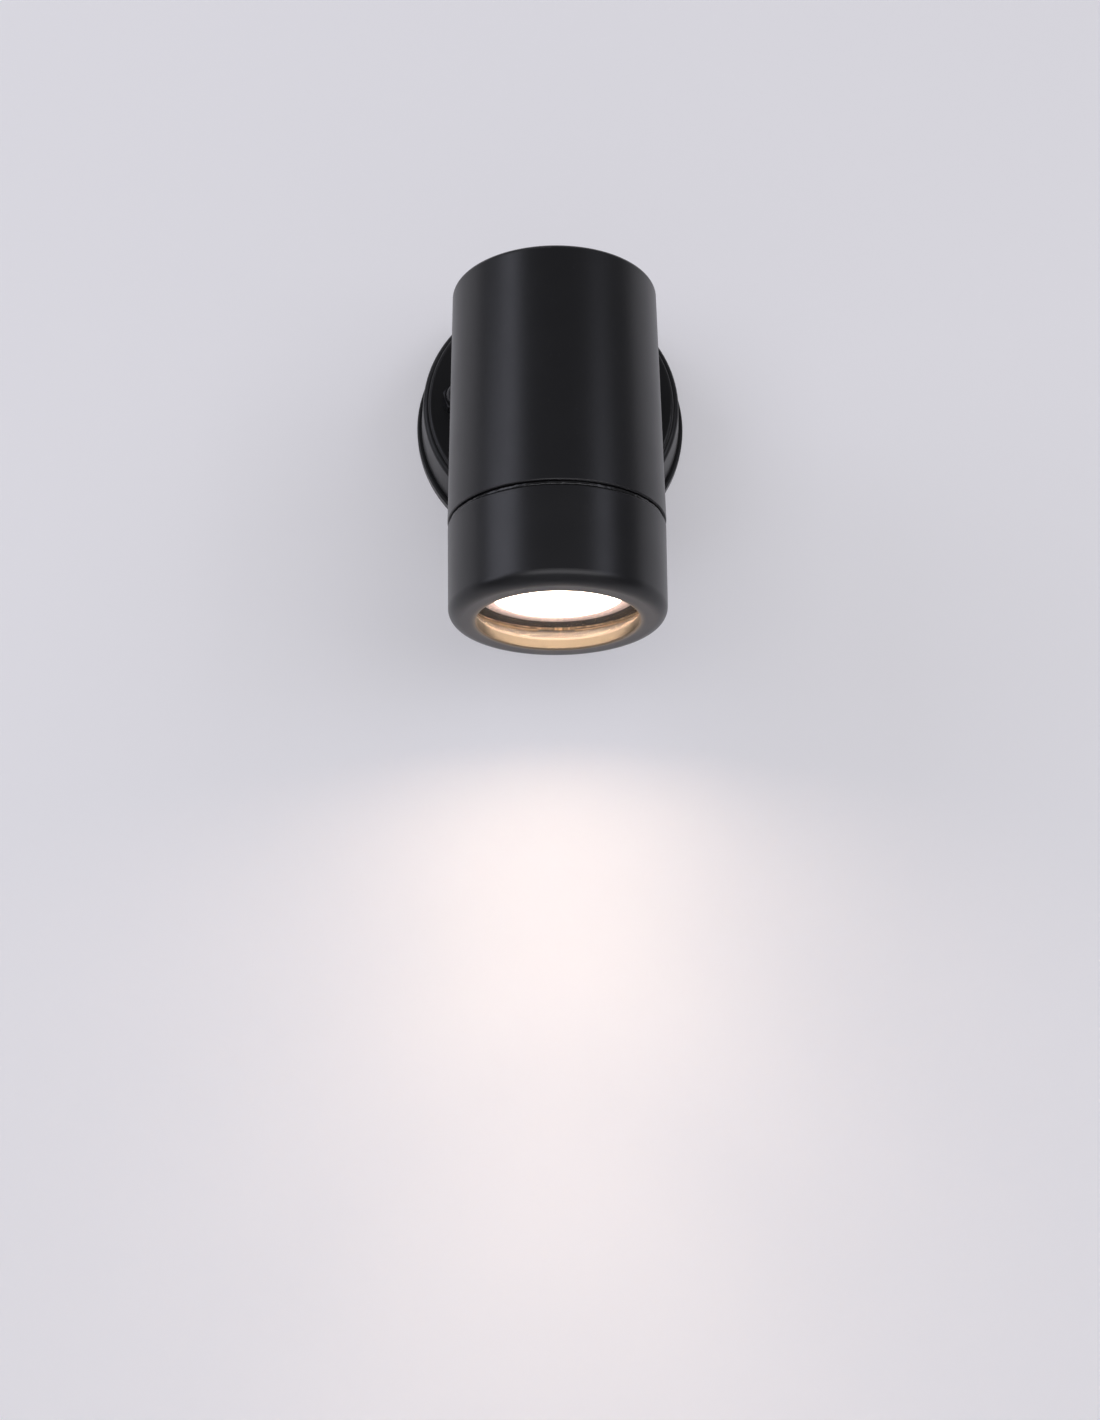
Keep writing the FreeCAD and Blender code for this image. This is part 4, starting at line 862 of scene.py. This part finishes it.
def make_camera():
    """Camera at the photograph's place: below the light and almost straight in front of it."""
    place = Vector((-15.294, -664.552, -321.501)) * MM
    pitch, yaw, roll = radians(18.2271), radians(1.2358), radians(-0.5862)
    focal, long_side = 2089.99, 1420
    ahead = Vector((sin(yaw) * cos(pitch), cos(yaw) * cos(pitch), sin(pitch)))
    level = Vector((cos(yaw), -sin(yaw), 0))
    upward = level.cross(ahead)
    right = level * cos(roll) + upward * sin(roll)
    top = upward * cos(roll) - level * sin(roll)
    data = bpy.data.cameras.new("camera")
    data.sensor_width = 36
    data.lens = focal * data.sensor_width / long_side
    data.clip_start, data.clip_end = 0.01, 20
    camera = in_scene("camera", data)
    turn = Matrix((right, top, -ahead)).transposed().to_4x4()
    camera.matrix_world = Matrix.Translation(place) @ turn
    bpy.context.scene.camera = camera


def make_world(settings):
    """Even room light; the camera sees a pale backdrop."""
    world = bpy.data.worlds.new("room")
    bpy.context.scene.world = world
    world.use_nodes = True
    tree = world.node_tree
    room = tree.nodes["Background"]
    room.inputs["Color"].default_value = (0.94, 0.94, 1.0, 1)
    room.inputs["Strength"].default_value = settings.sky
    root = Wire(tree)
    seen = root.node("Background", None, {"Color": (0.86, 0.87, 0.89, 1), "Strength": 0.9})
    path = root.node("LightPath", out="Is Camera Ray")
    blend = root.node("MixShader", None, {0: path, 1: Wire(tree, room.outputs[0]), 2: seen})
    tree.links.new(blend.socket, tree.nodes["World Output"].inputs[0])


# ------------------------------------------------------------------ operators
class SPOTLIGHT_OT_stage(bpy.types.Operator):
    """Wall, floor, soft lamps, room light and camera"""
    bl_idname = "spotlight.stage"
    bl_label = "Stage"

    def execute(self, context):
        settings = context.scene.spotlight_stage
        context.scene.view_settings.view_transform = "Standard"
        back, drop = 0.05 * MM, -settings.floor_drop
        wide, front = 2.5, -4
        flat_sheet("wall", [(-wide, back, drop), (wide, back, drop), (wide, back, wide),
                            (-wide, back, wide)], wall_finish(settings).material)
        flat_sheet("floor", [(-wide, front, drop), (wide, front, drop), (wide, back, drop),
                             (-wide, back, drop)], floor_finish(settings).material)
        aim = (0, -0.08, -0.04)
        cool, pale = (0.86, 0.87, 1.0), LAMP_WHITE
        # name, degrees to the side, degrees up, metres away, width and height
        soft_lamp("left_lamp", -66, 10, 1.5, (0.5, 0.9), settings.left_power, cool, aim)
        soft_lamp("near_left_lamp", -50, 25, 1.5, (0.4, 1.0), 0.9 * settings.left_power, cool, aim)
        soft_lamp("right_lamp", 47, 10, 1.65, (0.5, 1.0), settings.right_power, cool, aim)
        soft_lamp("front_lamp", 5, -10, 2.2, (3.6, 1.2), settings.front_power, pale, aim)
        soft_lamp("top_lamp", 0, 72, 1.6, (2.0, 1.0), settings.top_power, pale, aim)
        make_world(settings)
        make_camera()
        return {"FINISHED"}


class SPOTLIGHT_OT_finishes(bpy.types.Operator):
    """Finishes of all the solid parts"""
    bl_idname = "spotlight.finishes"
    bl_label = "Finishes"

    def execute(self, context):
        settings = context.scene.spotlight_finish
        made = {
            "moulded_black": moulded_black(settings),
            "ring_black": ring_black(settings),
            "painted_black": painted_black(settings),
            "blackened_steel": blackened_steel(settings),
            "seal_rubber": seal_rubber(),
            "foam_tape": foam_tape(),
            "zinc_steel": zinc_steel(),
            "spring_wire": spring_wire(),
            "turned_brass": turned_brass(),
            "natural_nylon": natural_nylon(),
            "lens_glass": lens_glass(settings),
            "lens_silicone": lens_silicone(),
            "holder_ceramic": holder_ceramic(),
            "lead_sleeving": lead_sleeving(),
        }
        for finish, parts in PARTS_BY_FINISH.items():
            for part in parts:
                give(part, made[finish])
        return {"FINISHED"}


class SPOTLIGHT_OT_seam(bpy.types.Operator):
    """Pressed rubber ring in the seam"""
    bl_idname = "spotlight.seam"
    bl_label = "Seam ring"

    def execute(self, context):
        make_seam_ring(context.scene.spotlight_seam)
        return {"FINISHED"}


class SPOTLIGHT_OT_lamp(bpy.types.Operator):
    """Lamp with its lit front and fluted rim"""
    bl_idname = "spotlight.lamp"
    bl_label = "Lamp"

    def execute(self, context):
        settings = context.scene.spotlight_lamp
        make_lamp_face(settings)
        make_lamp_shell(settings)
        colour = tuple(settings.light_colour)
        lamp_cone("lamp_spill", settings.spill_power, settings.spill_angle, colour)
        lamp_cone("lamp_beam", settings.beam_power, settings.beam_angle, colour)
        return {"FINISHED"}


class SPOTLIGHT_OT_threads(bpy.types.Operator):
    """Screw thread on the head's spigot and in the front ring"""
    bl_idname = "spotlight.threads"
    bl_label = "Threads"

    def execute(self, context):
        settings = context.scene.spotlight_thread
        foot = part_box("head_body")[0].z
        material = moulded_black(context.scene.spotlight_finish, "thread_black").material
        make_thread("spigot_thread", settings, SPIGOT_RADIUS, True, foot + 1.0 * MM, 3.5,
                    "head", material)
        make_thread("ring_thread", settings, RING_BORE_RADIUS, False, foot - 0.5 * MM, 3.9,
                    "ring", material)
        return {"FINISHED"}


OPERATORS = (SPOTLIGHT_OT_stage, SPOTLIGHT_OT_finishes, SPOTLIGHT_OT_seam, SPOTLIGHT_OT_lamp,
             SPOTLIGHT_OT_threads)


class SPOTLIGHT_PT_panel(bpy.types.Panel):
    """Buttons and settings of the spotlight"""
    bl_idname = "SPOTLIGHT_PT_panel"
    bl_label = "Pivoting spotlight"
    bl_space_type = "VIEW_3D"
    bl_region_type = "UI"
    bl_category = "Spotlight"

    def draw(self, context):
        for operator in OPERATORS:
            self.layout.operator(operator.bl_idname)
        for name, group in GROUPS:
            box = self.layout.box()
            for key in group.__annotations__:
                box.prop(getattr(context.scene, name), key)


CLASSES = tuple(group for name, group in GROUPS) + OPERATORS + (SPOTLIGHT_PT_panel,)


def register():
    for cls in CLASSES:
        bpy.utils.register_class(cls)
    for name, group in GROUPS:
        setattr(bpy.types.Scene, name, PointerProperty(type=group))


def unregister():
    for name, group in GROUPS:
        delattr(bpy.types.Scene, name)
    for cls in reversed(CLASSES):
        bpy.utils.unregister_class(cls)


def main():
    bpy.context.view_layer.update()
    register()
    bpy.ops.spotlight.stage()
    bpy.ops.spotlight.finishes()
    bpy.ops.spotlight.seam()
    bpy.ops.spotlight.lamp()
    bpy.ops.spotlight.threads()


if __name__ == "__main__":
    main()
